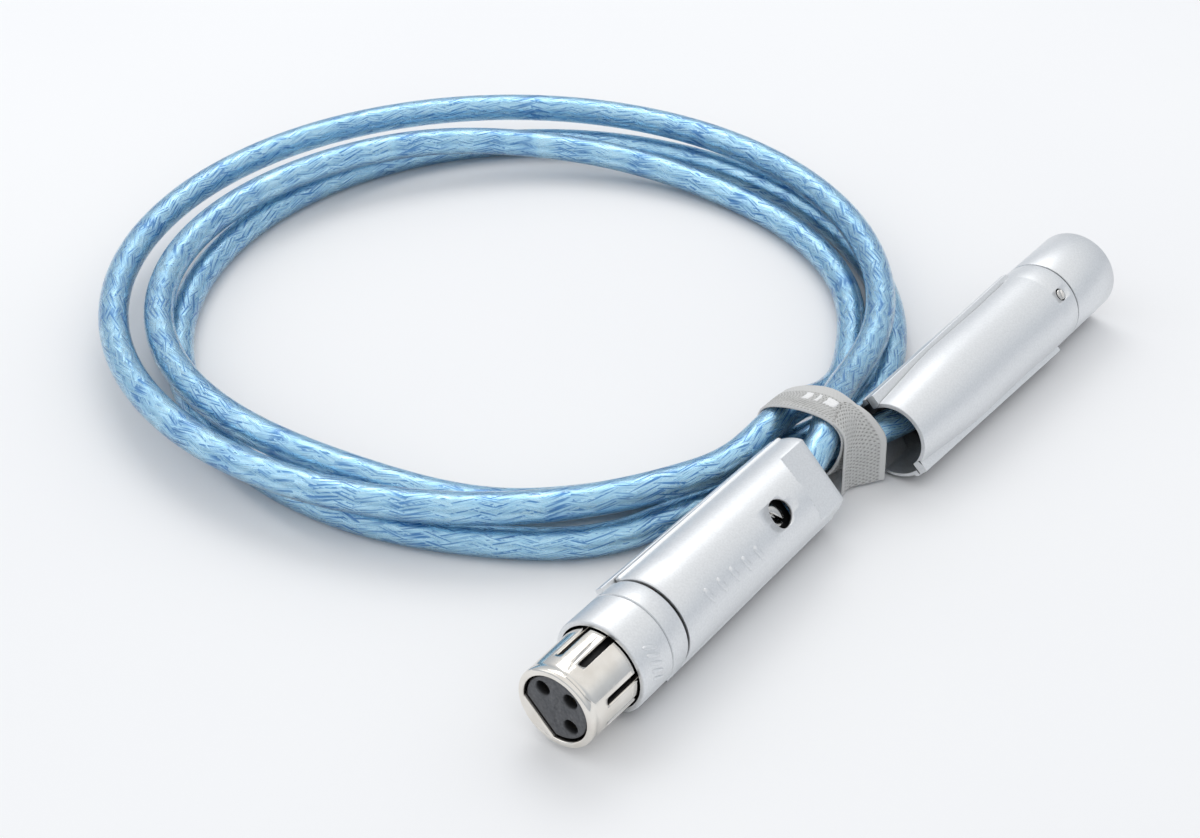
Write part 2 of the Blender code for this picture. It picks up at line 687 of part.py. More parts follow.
def main():
    clear_scene()
    bpy.context.scene.unit_settings.scale_length = 1.0
    socket_place = placing(beside_socket(0.0, 0.0, AXIS_HEIGHT), -1.0, SOCKET_ROLL)
    rear = beside_socket(PLUG_REAR[0], PLUG_REAR[1], AXIS_HEIGHT)
    plug_place = placing(rear + LENGTH * heading(PLUG_HEADING), 1.0, PLUG_ROLL)
    socket(socket_place)
    plug(plug_place)
    strap(cable())


main()
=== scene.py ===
"""Looks of the coiled balanced audio cable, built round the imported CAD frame.

The frame is in metres. Connector pieces are drawn in millimetres in the connector's own frame, as in the CAD:
+Z leaves the mating face, +Y is the side of the screwed rear cover, +X is across.
"""
import math

import bmesh
import bpy
import numpy as np
from mathutils import Matrix, Vector

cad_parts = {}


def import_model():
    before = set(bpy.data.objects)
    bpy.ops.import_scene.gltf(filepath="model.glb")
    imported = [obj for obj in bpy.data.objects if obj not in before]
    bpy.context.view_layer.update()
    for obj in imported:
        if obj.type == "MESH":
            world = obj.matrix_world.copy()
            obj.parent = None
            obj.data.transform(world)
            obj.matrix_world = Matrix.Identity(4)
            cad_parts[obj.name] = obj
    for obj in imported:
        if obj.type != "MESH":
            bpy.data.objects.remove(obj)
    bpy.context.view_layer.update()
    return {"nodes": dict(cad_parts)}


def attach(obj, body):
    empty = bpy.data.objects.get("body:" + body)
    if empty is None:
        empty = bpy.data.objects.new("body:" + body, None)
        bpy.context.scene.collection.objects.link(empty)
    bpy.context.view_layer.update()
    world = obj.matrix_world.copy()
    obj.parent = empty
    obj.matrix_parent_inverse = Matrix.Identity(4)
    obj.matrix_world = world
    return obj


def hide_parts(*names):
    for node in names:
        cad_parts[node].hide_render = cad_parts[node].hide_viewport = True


MM = 0.001

# Placing, the same as in the CAD.
CENTRE = (1.967, 12.227)
SOCKET_FACE = (-7.7, -96.3)
SOCKET_HEADING = 36.6
SOCKET_ROLL = 45.7
PLUG_REAR = (101.0, 7.0)
PLUG_HEADING = 37.8
PLUG_ROLL = 228.0
AXIS_HEIGHT = 9.5

# Connectors.
LENGTH = 79.5
SHELL_R = 9.5
COVER_R = 9.4
COVER_REAR_R = 9.0
BODY_R = 9.2
BODY_REAR_R = 7.7
WALL = 0.8
WING_HALF = 10.2
WING_REAR_HALF = 9.3
WING_DEEP = 1.9
PARTING = -0.6
GAP = 0.3
COVER_FRONT = 27.0
BODY_FRONT = 23.6
FACET_CREST = 68.4
FACET_HEIGHT = 7.3
SOCKET_FACET_HEIGHT = 5.7
NOSE_R = 8.1
NOSE_BORE = 6.7
INSERT_R = 6.4
PITCH_R = 4.1
SCREW_AT = 60.5
BARREL_BORE = 8.7
BARREL_LENGTH = 16.9
WINDOW_R = 2.9
SOCKET_RING_FRONT = -12.9
PLUG_RING_FRONT = -17.2
SOCKET_INSERT_SCREW = -23.6
PLUG_INSERT_SCREW = -21.3
CLAMP_SCREW = (2.3, (3.85, 5.4, 7.0))
INSERT_SCREW = (1.15, (8.0, 8.9, 9.75))
TURNED_STEPS = 160
PINS = ((-PITCH_R, 0.0), (PITCH_R, 0.0), (0.0, PITCH_R))

# Cable and strap.
CABLE_R = 3.25
CORE_R = 2.5
BRAID_R = 2.62
BRAID_LEAD = 70.0
BRAID_LIFT = 0.025
CARRIERS = 8
CARRIER_HALF = 0.56
CARRIER_CROWN = ((-1.0, -0.022), (-0.5, 0.012), (0.5, 0.012), (1.0, -0.022))
LINE_STEP = 1.2
TUBE_SIDES = 32
TURN_POINTS = 18
STRAP_FROM = 89.0
STRAP_TO = 99.0
STRAP_GAP = 0.2
STRAP_THICK = 0.6
STRAP_STATIONS = 9
LOOP_POINTS = 420
WEB_COLUMNS = 67
BACK_COLUMNS = 10
TAIL_POINTS = 200
TAIL_ARC = 64
TAIL_TIP = 0.12
TAIL_END = 0.7
THREAD_PITCH = 0.72
THREAD_SCALE = 450.0
PRINT_LIFT = 0.17
PRINT_BARS = ((78, 98, 92.6, 95.4), (104, 112, 92.6, 95.4), (118, 132, 92.6, 95.4))

SOCKET_TO_FIRST = ((52.0, 0.0, 9.5), (60.0, 0.0, 9.5), (67.0, 0.0, 9.6), (73.5, 0.0, 10.1),
                   (79.5, -0.2, 11.0), (85.0, -0.8, 12.3), (90.5, -2.2, 13.6), (96.0, -4.5, 13.8),
                   (102.5, -7.0, 12.8), (110.0, -9.1, 11.3), (119.0, -11.0, 10.4))
FIRST_TO_SECOND = ((70.0, -15.4, 10.3), (79.5, -13.5, 10.6), (87.0, -13.3, 11.3), (94.0, -13.6, 10.9),
                   (101.5, -14.1, 8.8), (110.0, -14.4, 5.6), (119.0, -15.4, 3.9))
SECOND_TO_THIRD = ((70.0, -22.6, 3.5), (79.5, -17.9, 3.8), (87.0, -14.2, 4.5), (94.0, -11.0, 4.5),
                   (101.5, -8.4, 4.4), (110.0, -6.9, 3.7), (119.0, -7.1, 3.35))
THIRD_TO_PLUG = ((60.0, -18.3, 3.35), (70.0, -14.2, 3.4), (79.5, -9.9, 3.8), (87.0, -5.7, 5.2),
                 (94.0, -1.4, 7.3), (101.0, 3.15, 9.45), (107.5, 5.8, 9.95), (114.0, 7.1, 9.7),
                 (121.0, 7.42, 9.5), (128.5, 7.58, 9.5))
FIRST_TURN = (-22.5, 39.5, 84.5, 82.5, -17.0, 298.0)
SECOND_TURN = (-20.3, 36.5, 76.6, 70.5, -14.0, 290.0)
THIRD_TURN = (-14.1, 36.0, 78.9, 80.5, -15.0, 284.0)
SECOND_HEIGHTS = ((-20.0, 3.4), (45.0, 3.4), (75.0, 6.2), (98.0, 9.0), (112.0, 10.15), (180.0, 10.15),
                  (240.0, 10.15), (252.0, 8.0), (268.0, 4.4), (285.0, 3.5), (340.0, 3.4))
FIRST_HEIGHT = 10.25
THIRD_HEIGHT = 3.3

# Finish of each CAD node that stays, by the end of its name without a number.
FINISHES = (("latch", "nickel"), ("insert", "insert"), ("contact", "gold"), ("pin", "gold"),
            ("clamp", "clamp"), ("conductor_1", "red"), ("conductor_2", "white"),
            ("drain_wire", "copper"))


# ---------------------------------------------------------------- route of the cable, as in the CAD

def heading(degrees):
    t = math.radians(degrees)
    return np.array([math.sin(t), math.cos(t), 0.0])


def beside_socket(along, right, up):
    """A point given along the socket axis from its mating face, to the right of it, and above the floor."""
    a = heading(SOCKET_HEADING)
    across = np.array([a[1], -a[0], 0.0])
    origin = np.array([SOCKET_FACE[0] - CENTRE[0], SOCKET_FACE[1] - CENTRE[1], 0.0])
    return origin + along * a + right * across + np.array([0.0, 0.0, up])


def placing(origin, front, roll):
    """Matrix of a connector frame, from millimetres to metres."""
    a = heading(SOCKET_HEADING if front < 0 else PLUG_HEADING)
    right = np.array([a[1], -a[0], 0.0])
    t = math.radians(roll)
    y = math.cos(t) * right + math.sin(t) * np.array([0.0, 0.0, 1.0])
    z = front * a
    rows = np.column_stack([np.cross(y, z), y, z])
    made = Matrix([list(map(float, row)) for row in rows]).to_4x4()
    made.translation = Vector([float(c) for c in origin])
    return Matrix.Scale(MM, 4) @ made


def turn_points(turn, height):
    cx, cy, rx, ry, first, last = turn
    count = int(round((last - first) / 360.0 * TURN_POINTS)) + 1
    points = []
    for k in range(count):
        t = first + (last - first) * k / (count - 1)
        z = np.interp(t, [h[0] for h in height], [h[1] for h in height])
        points.append(np.array([cx - CENTRE[0] + rx * math.cos(math.radians(t)),
                                cy - CENTRE[1] + ry * math.sin(math.radians(t)), z]))
    return points


def cable_guide():
    guide = [beside_socket(*p) for p in SOCKET_TO_FIRST]
    guide += turn_points(FIRST_TURN, ((-40.0, FIRST_HEIGHT), (360.0, FIRST_HEIGHT)))
    guide += [beside_socket(*p) for p in FIRST_TO_SECOND]
    guide += turn_points(SECOND_TURN, SECOND_HEIGHTS)
    guide += [beside_socket(*p) for p in SECOND_TO_THIRD]
    guide += turn_points(THIRD_TURN, ((-40.0, THIRD_HEIGHT), (360.0, THIRD_HEIGHT)))
    guide += [beside_socket(*p) for p in THIRD_TO_PLUG]
    return np.array(guide)


def smooth_line(guide, fine):
    """A natural cubic spline through the guide points, sampled evenly and finely."""
    steps = np.linalg.norm(np.diff(guide, axis=0), axis=1)
    at = np.concatenate([[0.0], np.cumsum(steps)])
    count = len(guide)
    matrix = np.zeros((count, count))
    right = np.zeros((count, 3))
    matrix[0, 0] = matrix[-1, -1] = 1.0
    for i in range(1, count - 1):
        a, b = steps[i - 1], steps[i]
        matrix[i, i - 1:i + 2] = (a, 2 * (a + b), b)
        right[i] = 6 * ((guide[i + 1] - guide[i]) / b - (guide[i] - guide[i - 1]) / a)
    bend = np.linalg.solve(matrix, right)
    wanted = np.linspace(0.0, at[-1], int(at[-1] / fine) + 1)
    index = np.clip(np.searchsorted(at, wanted, side="right") - 1, 0, count - 2)
    h = steps[index][:, None]
    u = (wanted - at[index])[:, None]
    v = h - u
    low, high = guide[index], guide[index + 1]
    first, second = bend[index], bend[index + 1]
    line = first * v ** 3 / (6 * h) + second * u ** 3 / (6 * h)
    line = line + (low / h - first * h / 6) * v + (high / h - second * h / 6) * u
    line[:, 2] = np.maximum(line[:, 2], CABLE_R)
    return line


def distances(points):
    """How far along a path each of its points lies."""
    return np.concatenate([[0.0], np.cumsum(np.linalg.norm(np.diff(points, axis=0), axis=1))])


def frames_along(line):
    """A normal and a binormal at each point of the line, carried along it without twist."""
    tangent = np.gradient(line, axis=0)
    tangent /= np.linalg.norm(tangent, axis=1)[:, None]
    normal = np.zeros_like(line)
    normal[0] = np.cross(tangent[0], (0.0, 0.0, 1.0))
    normal[0] /= np.linalg.norm(normal[0])
    for i in range(1, len(line)):
        n = normal[i - 1] - tangent[i] * (normal[i - 1] @ tangent[i])
        normal[i] = n / np.linalg.norm(n)
    return normal, np.cross(tangent, normal)


# ---------------------------------------------------------------- mesh helpers

def new_object(name, mesh, material, body):
    obj = bpy.data.objects.new(name, mesh)
    bpy.context.scene.collection.objects.link(obj)
    if material is not None:
        mesh.materials.append(material)
    if body:
        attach(obj, body)
    return obj


def grid_mesh(name, rows, closed_across, closed_along=False, caps=False):
    """A mesh from an array of points: rows along, columns across. UVs are the distances across and along."""
    n_rows, n_cols = rows.shape[:2]
    mesh = bpy.data.meshes.new(name)
    ids = np.arange(n_rows * n_cols).reshape(n_rows, n_cols)
    if closed_across:
        ids = np.hstack([ids, ids[:, :1]])
    if closed_along:
        ids = np.vstack([ids, ids[:1]])
    quads = np.stack([ids[:-1, :-1], ids[:-1, 1:], ids[1:, 1:], ids[1:, :-1]], axis=-1).reshape(-1, 4)
    faces = quads.tolist()
    if caps:
        faces += [list(range(n_cols))[::-1], list(range((n_rows - 1) * n_cols, n_rows * n_cols))]
    mesh.from_pydata(rows.reshape(-1, 3).tolist(), [], faces)
    layer = mesh.uv_layers.new(name="UVMap")
    length = distances(rows[:, 0])
    wide, high = ids.shape[1] - 1, ids.shape[0] - 1
    step = np.append(length, length[-1] + np.linalg.norm(rows[0, 0] - rows[-1, 0]))[:high + 1]
    first = rows[0] if not closed_across else np.vstack([rows[0], rows[0, :1]])
    across = distances(first)[:wide + 1]
    left, right = np.tile(across[:-1], high), np.tile(across[1:], high)
    low, top = np.repeat(step[:-1], wide), np.repeat(step[1:], wide)
    uvs = np.stack([left, low, right, low, right, top, left, top], axis=-1).reshape(-1)
    full = np.zeros(len(mesh.loops) * 2)
    full[:len(uvs)] = uvs
    layer.data.foreach_set("uv", full)
    mesh.polygons.foreach_set("use_smooth", np.ones(len(mesh.polygons), bool))
    mesh.update()
    return mesh


def lathe(bm, profile, steps, place, axis="z", at=(0.0, 0.0, 0.0)):
    """Turns (radius, along) points about an axis, in mm, and puts them in place. Zero radii make poles."""
    rows = []
    for r, h in profile:
        row = []
        for k in range(1 if r < 1e-9 else steps):
            t = 2 * math.pi * k / steps
            u, v = r * math.cos(t), r * math.sin(t)
            local = (u, v, h) if axis == "z" else (v, h, u)
            row.append(bm.verts.new(place @ (Vector(local) + Vector(at))))
        rows.append(row)
    pairs = list(zip(rows, rows[1:]))
    if not (len(rows[0]) == 1 and len(rows[-1]) == 1):
        pairs.append((rows[-1], rows[0]))
    for low, high in pairs:
        for k in range(steps):
            n = (k + 1) % steps
            ring = [low[k % len(low)], low[n % len(low)], high[n % len(high)], high[k % len(high)]]
            bm.faces.new([v for i, v in enumerate(ring) if v not in ring[:i]])


def loft(bm, rings, place, folded=False):
    """Joins closed rings and caps the two ends; a folded ring is a thin wall, capped by a row of quads."""
    rows = [[bm.verts.new(place @ Vector(p)) for p in ring] for ring in rings]
    count = len(rows[0])
    for low, high in zip(rows, rows[1:]):
        for k in range(count):
            n = (k + 1) % count
            bm.faces.new((low[k], low[n], high[n], high[k]))
    if not folded:
        bm.faces.new(rows[0])
        bm.faces.new(list(reversed(rows[-1])))
        return
    for row in (rows[0], rows[-1]):
        for k in range(count // 2 - 1):
            bm.faces.new((row[k], row[k + 1], row[count - 2 - k], row[count - 1 - k]))


def from_bmesh(name, bm, material, body, angle=32.0):
    bmesh.ops.recalc_face_normals(bm, faces=bm.faces)
    mesh = bpy.data.meshes.new(name)
    bm.to_mesh(mesh)
    bm.free()
    mesh.polygons.foreach_set("use_smooth", np.ones(len(mesh.polygons), bool))
    mesh.set_sharp_from_angle(angle=math.radians(angle))
    return new_object(name, mesh, material, body)


def cut_away(obj, bm, name):
    """Cuts the closed shape in bm out of obj, for good."""
    cutter = from_bmesh(name, bm, None, None)
    mod = obj.modifiers.new("Cut", "BOOLEAN")
    mod.operation = "DIFFERENCE"
    mod.solver = "EXACT"
    mod.object = cutter
    graph = bpy.context.evaluated_depsgraph_get()
    made = bpy.data.meshes.new_from_object(obj.evaluated_get(graph), depsgraph=graph)
    obj.modifiers.remove(mod)
    old, obj.data = obj.data, made
    made.name = obj.name
    bpy.data.meshes.remove(old)
    bpy.data.objects.remove(cutter)


def mix(a, b, t):
    return a + (b - a) * t


def arc(radius, start, end, count):
    angles = np.radians(np.linspace(start, end, count))
    return [(radius * math.cos(t), radius * math.sin(t)) for t in angles]


# ---------------------------------------------------------------- materials

def shader(name, colour, rough, metal=0.0):
    made = bpy.data.materials.new(name)
    made.use_nodes = True
    node = made.node_tree.nodes["Principled BSDF"]
    node.inputs["Base Color"].default_value = (*colour, 1.0)
    node.inputs["Roughness"].default_value = rough
    node.inputs["Metallic"].default_value = metal
    return made, made.node_tree, node


def noise(tree, scale, detail=3.0, stretch=None, uv=False, rough=0.5):
    """A noise texture over the object, or over its UVs."""
    where = tree.nodes.new("ShaderNodeTexCoord")
    turn = tree.nodes.new("ShaderNodeMapping")
    turn.inputs["Scale"].default_value = stretch or (1.0, 1.0, 1.0)
    texture = tree.nodes.new("ShaderNodeTexNoise")
    texture.inputs["Scale"].default_value = scale
    texture.inputs["Detail"].default_value = detail
    texture.inputs["Roughness"].default_value = rough
    tree.links.new(where.outputs["UV" if uv else "Object"], turn.inputs["Vector"])
    tree.links.new(turn.outputs["Vector"], texture.inputs["Vector"])
    return texture.outputs["Fac"]


def ramp(tree, value, stops):
    """A colour or a grey for each value, through (place, colour) stops."""
    node = tree.nodes.new("ShaderNodeValToRGB")
    while len(node.color_ramp.elements) < len(stops):
        node.color_ramp.elements.new(0.5)
    for element, (place, colour) in zip(node.color_ramp.elements, stops):
        element.position = place
        element.color = (*colour, 1.0) if hasattr(colour, "__len__") else (colour, colour, colour, 1.0)
    tree.links.new(value, node.inputs["Fac"])
    return node.outputs["Color"]


def bump(tree, node, height, strength, distance):
    made = tree.nodes.new("ShaderNodeBump")
    made.inputs["Strength"].default_value = strength
    made.inputs["Distance"].default_value = distance
    tree.links.new(height, made.inputs["Height"])
    tree.links.new(made.outputs["Normal"], node.inputs["Normal"])


def vary(tree, node, socket, scale, detail, stops):
    """Varies one input of the shader over the surface."""
    value = ramp(tree, noise(tree, scale, detail), stops)
    tree.links.new(value, node.inputs[socket])
    return value


def paint_shade_in_hollows(tree, node, tone, distance, stops):
    """Paints shade into the colour where a surface is closed in, as inside a shell or a hole: near-black
    painted shade, not a colour of the part.
    """
    hollow = tree.nodes.new("ShaderNodeAmbientOcclusion")
    hollow.inputs["Distance"].default_value = distance
    painted_shade_amount = ramp(tree, hollow.outputs["AO"], [(stops[0], 0.0), (stops[1], 1.0)])
    shade = tree.nodes.new("ShaderNodeMix")
    shade.data_type = "RGBA"
    # near-black colour of the painted shade in the hollows
    shade.inputs["A"].default_value = (0.002, 0.002, 0.003, 1.0)
    tree.links.new(painted_shade_amount, shade.inputs["Factor"])
    tree.links.new(tone, shade.inputs["B"])
    tree.links.new(shade.outputs["Result"], node.inputs["Base Color"])


def satin_metal():
    """Fine blasted and plated shell: soft grain, slightly uneven sheen, and painted shade that darkens the
    inside of the shell and its holes.
    """
    made, tree, node = shader("satin_shell", (0.80, 0.81, 0.825), 0.42, 0.85)
    tone = vary(tree, node, "Base Color", 2600.0, 4.0,
                [(0.3, (0.75, 0.765, 0.78)), (0.7, (0.83, 0.845, 0.86))])
    vary(tree, node, "Roughness", 1800.0, 2.0, [(0.3, 0.38), (0.7, 0.48)])
    bump(tree, node, noise(tree, 5200.0, 2.0), 0.12, 0.00004)
    # painted shade: the colour turns near black inside the shell and its holes
    paint_shade_in_hollows(tree, node, tone, 0.008, (0.18, 0.42))
    return made


def polished_nickel():
    made, tree, node = shader("polished_nickel", (0.82, 0.78, 0.72), 0.1, 1.0)
    vary(tree, node, "Base Color", 260.0, 3.0, [(0.3, (0.78, 0.74, 0.68)), (0.7, (0.87, 0.84, 0.79))])
    vary(tree, node, "Roughness", 700.0, 4.0, [(0.35, 0.07), (0.75, 0.18)])
    return made


def moulded(name, colour, rough, painted_hollow_shade=False):
    """Injection-moulded plastic with a fine, speckled grain; if asked, painted shade darkens its holes and
    hollows.
    """
    made, tree, node = shader(name, colour, rough)
    dark = tuple(c * 0.8 for c in colour)
    light = tuple(min(1.0, c * 1.25 + 0.004) for c in colour)
    tone = vary(tree, node, "Base Color", 1800.0, 3.0, [(0.3, dark), (0.7, light)])
    vary(tree, node, "Roughness", 1100.0, 2.0, [(0.3, rough - 0.08), (0.7, rough + 0.08)])
    bump(tree, node, noise(tree, 4000.0, 2.0), 0.25, 0.00003)
    if painted_hollow_shade:
        # painted shade in the holes and hollows, in the colour
        paint_shade_in_hollows(tree, node, tone, 0.004, (0.35, 0.8))
    return made


def plated(name, colour, rough):
    made, tree, node = shader(name, colour, rough, 1.0)
    dark = tuple(c * 0.86 for c in colour)
    vary(tree, node, "Base Color", 900.0, 3.0, [(0.3, dark), (0.7, colour)])
    vary(tree, node, "Roughness", 1500.0, 2.0, [(0.3, rough * 0.8), (0.7, rough * 1.3)])
    return made


def clear_jacket():
    """Ice-blue clear plastic over the braid, glossy."""
    made, tree, node = shader("clear_jacket", (0.50, 0.80, 0.995), 0.04)
    node.inputs["Transmission Weight"].default_value = 1.0
    node.inputs["IOR"].default_value = 1.46
    vary(tree, node, "Roughness", 300.0, 3.0, [(0.35, 0.02), (0.7, 0.09)])
    return made


def braid_metal():
    """Tinned braid: each flat carrier is a run of fine parallel wires, some brighter than others; the white
    streaks among them are painted highlights.
    """
    made, tree, node = shader("braid", (0.80, 0.88, 0.96), 0.3, 0.82)
    wires = noise(tree, 1.0, 2.0, stretch=(2600.0, 130.0, 1.0), uv=True)
    # random wire tone from dark blue to white; its white end is painted highlight
    tone = ramp(tree, wires, [(0.37, (0.20, 0.38, 0.66)), (0.5, (0.84, 0.94, 1.0)), (0.6, (1.0, 1.0, 1.0))])
    tree.links.new(tone, node.inputs["Base Color"])
    sheen = ramp(tree, wires, [(0.3, 0.42), (0.7, 0.2)])
    tree.links.new(sheen, node.inputs["Roughness"])
    bump(tree, node, noise(tree, 1.0, 1.0, stretch=(4200.0, 60.0, 1.0), uv=True), 0.3, 0.00008)
    return made


def foil_core():
    """Blue foil that shows between the carriers."""
    made, tree, node = shader("braid_core", (0.30, 0.50, 0.76), 0.35, 0.8)
    vary(tree, node, "Base Color", 500.0, 3.0, [(0.3, (0.22, 0.40, 0.66)), (0.7, (0.42, 0.62, 0.84))])
    return made


def crossing_threads(tree):
    """High where a thread of either of two slanting sets lies on top."""
    where = tree.nodes.new("ShaderNodeTexCoord")
    heights = []
    for lean in (0.5, -0.5):
        turn = tree.nodes.new("ShaderNodeMapping")
        turn.inputs["Rotation"].default_value = (0.0, 0.0, math.atan(lean))
        wave = tree.nodes.new("ShaderNodeTexWave")
        wave.bands_direction = "Y"
        wave.inputs["Scale"].default_value = THREAD_SCALE
        wave.inputs["Distortion"].default_value = 0.4
        tree.links.new(where.outputs["UV"], turn.inputs["Vector"])
        tree.links.new(turn.outputs["Vector"], wave.inputs["Vector"])
        heights.append(wave.outputs["Fac"])
    most = tree.nodes.new("ShaderNodeMath")
    most.operation = "MULTIPLY"
    tree.links.new(heights[0], most.inputs[0])
    tree.links.new(heights[1], most.inputs[1])
    invert = tree.nodes.new("ShaderNodeMath")
    invert.operation = "SUBTRACT"
    invert.inputs[0].default_value = 1.0
    tree.links.new(most.outputs[0], invert.inputs[1])
    return invert.outputs[0]


def webbing():
    """Woven strap: light threads over grey, with a paler hem along each edge."""
    made, tree, node = shader("webbing", (0.55, 0.55, 0.56), 0.85)
    node.inputs["Sheen Weight"].default_value = 0.25
    node.inputs["Specular IOR Level"].default_value = 0.25
    fibres = ramp(tree, noise(tree, 3000.0, 3.0), [(0.3, (0.46, 0.46, 0.45)), (0.7, (0.62, 0.62, 0.61))])
    threads = ramp(tree, crossing_threads(tree), [(0.25, (0.55, 0.55, 0.54)), (0.75, (1.0, 1.0, 1.0))])
    product = tree.nodes.new("ShaderNodeMix")
    product.data_type = "RGBA"
    product.blend_type = "MULTIPLY"
    product.inputs["Factor"].default_value = 1.0
    tree.links.new(fibres, product.inputs["A"])
    tree.links.new(threads, product.inputs["B"])
    where = tree.nodes.new("ShaderNodeTexCoord")
    split = tree.nodes.new("ShaderNodeSeparateXYZ")
    share = tree.nodes.new("ShaderNodeMath")
    share.operation = "MULTIPLY"
    share.inputs[1].default_value = 96.0
    tree.links.new(where.outputs["UV"], split.inputs["Vector"])
    tree.links.new(split.outputs["X"], share.inputs[0])
    hem = ramp(tree, share.outputs[0], [(0.045, 1.0), (0.065, 0.0), (0.93, 0.0), (0.95, 1.0)])
    blend = tree.nodes.new("ShaderNodeMix")
    blend.data_type = "RGBA"
    blend.inputs["B"].default_value = (0.62, 0.62, 0.61, 1.0)
    tree.links.new(hem, blend.inputs["Factor"])
    tree.links.new(product.outputs["Result"], blend.inputs["A"])
    tree.links.new(blend.outputs["Result"], node.inputs["Base Color"])
    bump(tree, node, noise(tree, 6000.0, 2.0), 0.4, 0.00006)
    return made


def white_print():
    """Pale ink of the bars printed on the strap."""
    made, tree, node = shader("white_print", (0.74, 0.74, 0.75), 0.8)
    vary(tree, node, "Base Color", 2600.0, 3.0, [(0.3, (0.84, 0.84, 0.84)), (0.7, (0.93, 0.93, 0.93))])
    bump(tree, node, noise(tree, 5000.0, 2.0), 0.4, 0.00006)
    return made


def pale_floor():
    made, tree, node = shader("pale_floor", (0.93, 0.935, 0.945), 0.55)
    vary(tree, node, "Base Color", 6.0, 2.0, [(0.3, (0.915, 0.92, 0.935)), (0.7, (0.935, 0.94, 0.95))])
    node.inputs["Specular IOR Level"].default_value = 0.2
    return made


# ---------------------------------------------------------------- stage

def make_camera():
    """Looks at the coil from 36 degrees above the surface."""
    data = bpy.data.cameras.new("camera")
    data.lens = 59.7
    data.sensor_width = 36.0
    data.clip_start = 0.01
    data.clip_end = 20.0
    camera = bpy.data.objects.new("camera", data)
    bpy.context.scene.collection.objects.link(camera)
    centre = Vector((-CENTRE[0] * MM, -CENTRE[1] * MM, 0.0))
    camera.location = centre + Vector((0.0, -0.3382, 0.2457))
    camera.rotation_mode = "QUATERNION"
    camera.rotation_quaternion = (centre - camera.location).to_track_quat("-Z", "Y")
    bpy.context.scene.camera = camera


def area_light(name, at, size, power, colour=(1.0, 1.0, 1.0), target=(0.0, 0.0, 0.0)):
    data = bpy.data.lights.new(name, "AREA")
    data.shape = "RECTANGLE"
    data.size, data.size_y = size
    data.energy = power
    data.color = colour
    light = bpy.data.objects.new(name, data)
    bpy.context.scene.collection.objects.link(light)
    light.location = at
    light.rotation_mode = "QUATERNION"
    light.rotation_quaternion = (Vector(target) - light.location).to_track_quat("-Z", "Y")


def make_stage():
    scene = bpy.context.scene
    scene.view_settings.view_transform = "Standard"
    world = bpy.data.worlds.new("studio")
    world.use_nodes = True
    background = world.node_tree.nodes["Background"]
    where = world.node_tree.nodes.new("ShaderNodeTexCoord")
    split = world.node_tree.nodes.new("ShaderNodeSeparateXYZ")
    world.node_tree.links.new(where.outputs["Generated"], split.inputs["Vector"])
    sky = ramp(world.node_tree, split.outputs["Z"], [(0.0, (0.52, 0.56, 0.62)), (0.30, (0.66, 0.70, 0.75)),
                                                     (0.62, (0.98, 0.99, 1.0)), (1.0, (1.0, 1.0, 1.0))])
    world.node_tree.links.new(sky, background.inputs["Color"])
    background.inputs["Strength"].default_value = 0.92
    scene.world = world
    area_light("back_softbox", (-0.10, 0.62, 0.85), (0.7, 0.5), 1.9)
    area_light("left_softbox", (-0.9, 0.0, 0.7), (0.6, 0.9), 0.7)
    mesh = bpy.data.meshes.new("floor")
    half = 3.0
    corners = [(-half, -half, 0), (half, -half, 0), (half, half, 0), (-half, half, 0)]
    mesh.from_pydata(corners, [], [(0, 1, 2, 3)])
    floor = new_object("floor", mesh, pale_floor(), None)


# ---------------------------------------------------------------- cable

def tube(name, line, normal, binormal, radius):
    """A round solid along the line, in metres."""
    angles = (2 * math.pi * np.arange(TUBE_SIDES) / TUBE_SIDES)[None, :, None]
    around = np.cos(angles) * normal[:, None] + np.sin(angles) * binormal[:, None]
    return grid_mesh(name, (line[:, None] + radius * around) * MM, True, caps=True)


def braid_rows(line, normal, binormal, way, k):
    """One carrier: a flat, crowned ribbon that winds round the core and weaves over and under the others."""
    along = distances(line)
    omega = 2 * math.pi / BRAID_LEAD
    drift = 0.10 * np.sin(along / 37.0 + 1.7 * k * way) + 0.06 * np.sin(along / 13.0 + 2.9 * k)
    theta = 2 * math.pi * k / CARRIERS + way * omega * along + drift
    lift = BRAID_R + BRAID_LIFT * way * np.cos(CARRIERS * omega * along)
    half = CARRIER_HALF * (2 * math.pi * BRAID_R / CARRIERS) * (1.0 + 0.06 * np.sin(along / 9.0 + 2.1 * k))
    rows = []
    for share, crown in CARRIER_CROWN:
        angle = theta + share * half / BRAID_R
        radius = lift + crown
        around = np.cos(angle)[:, None] * normal + np.sin(angle)[:, None] * binormal
        rows.append((line + radius[:, None] * around) * MM)
    return np.stack(rows, axis=1)


def joined(name, parts):
    """Several grids as one mesh, with their UVs."""
    bm = bmesh.new()
    for part in parts:
        bm.from_mesh(part)
        bpy.data.meshes.remove(part)
    mesh = bpy.data.meshes.new(name)
    bm.to_mesh(mesh)
    bm.free()
    mesh.set_sharp_from_angle(angle=math.radians(50))
    return mesh


def make_cable():
    """A clear jacket over a braid round a foil core. Returns the centre line in mm."""
    line = smooth_line(cable_guide(), LINE_STEP)
    normal, binormal = frames_along(line)
    keep = np.arange(0, len(line), 2)
    if keep[-1] != len(line) - 1:
        keep = np.append(keep, len(line) - 1)
    jacket_line, jn, jb = line[keep], normal[keep], binormal[keep]
    for name, radius, look in (("cable_jacket", CABLE_R, clear_jacket()), ("cable_core", CORE_R, foil_core())):
        new_object(name, tube(name, jacket_line, jn, jb, radius), look, "coil")
    metal = braid_metal()
    for way, name in ((1, "braid_right"), (-1, "braid_left")):
        parts = []
        for k in range(CARRIERS):
            parts.append(grid_mesh("carrier", braid_rows(line, normal, binormal, way, k), True, caps=True))
        new_object(name, joined(name, parts), metal, "coil")
    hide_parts("cable")
    return line


# ---------------------------------------------------------------- strap

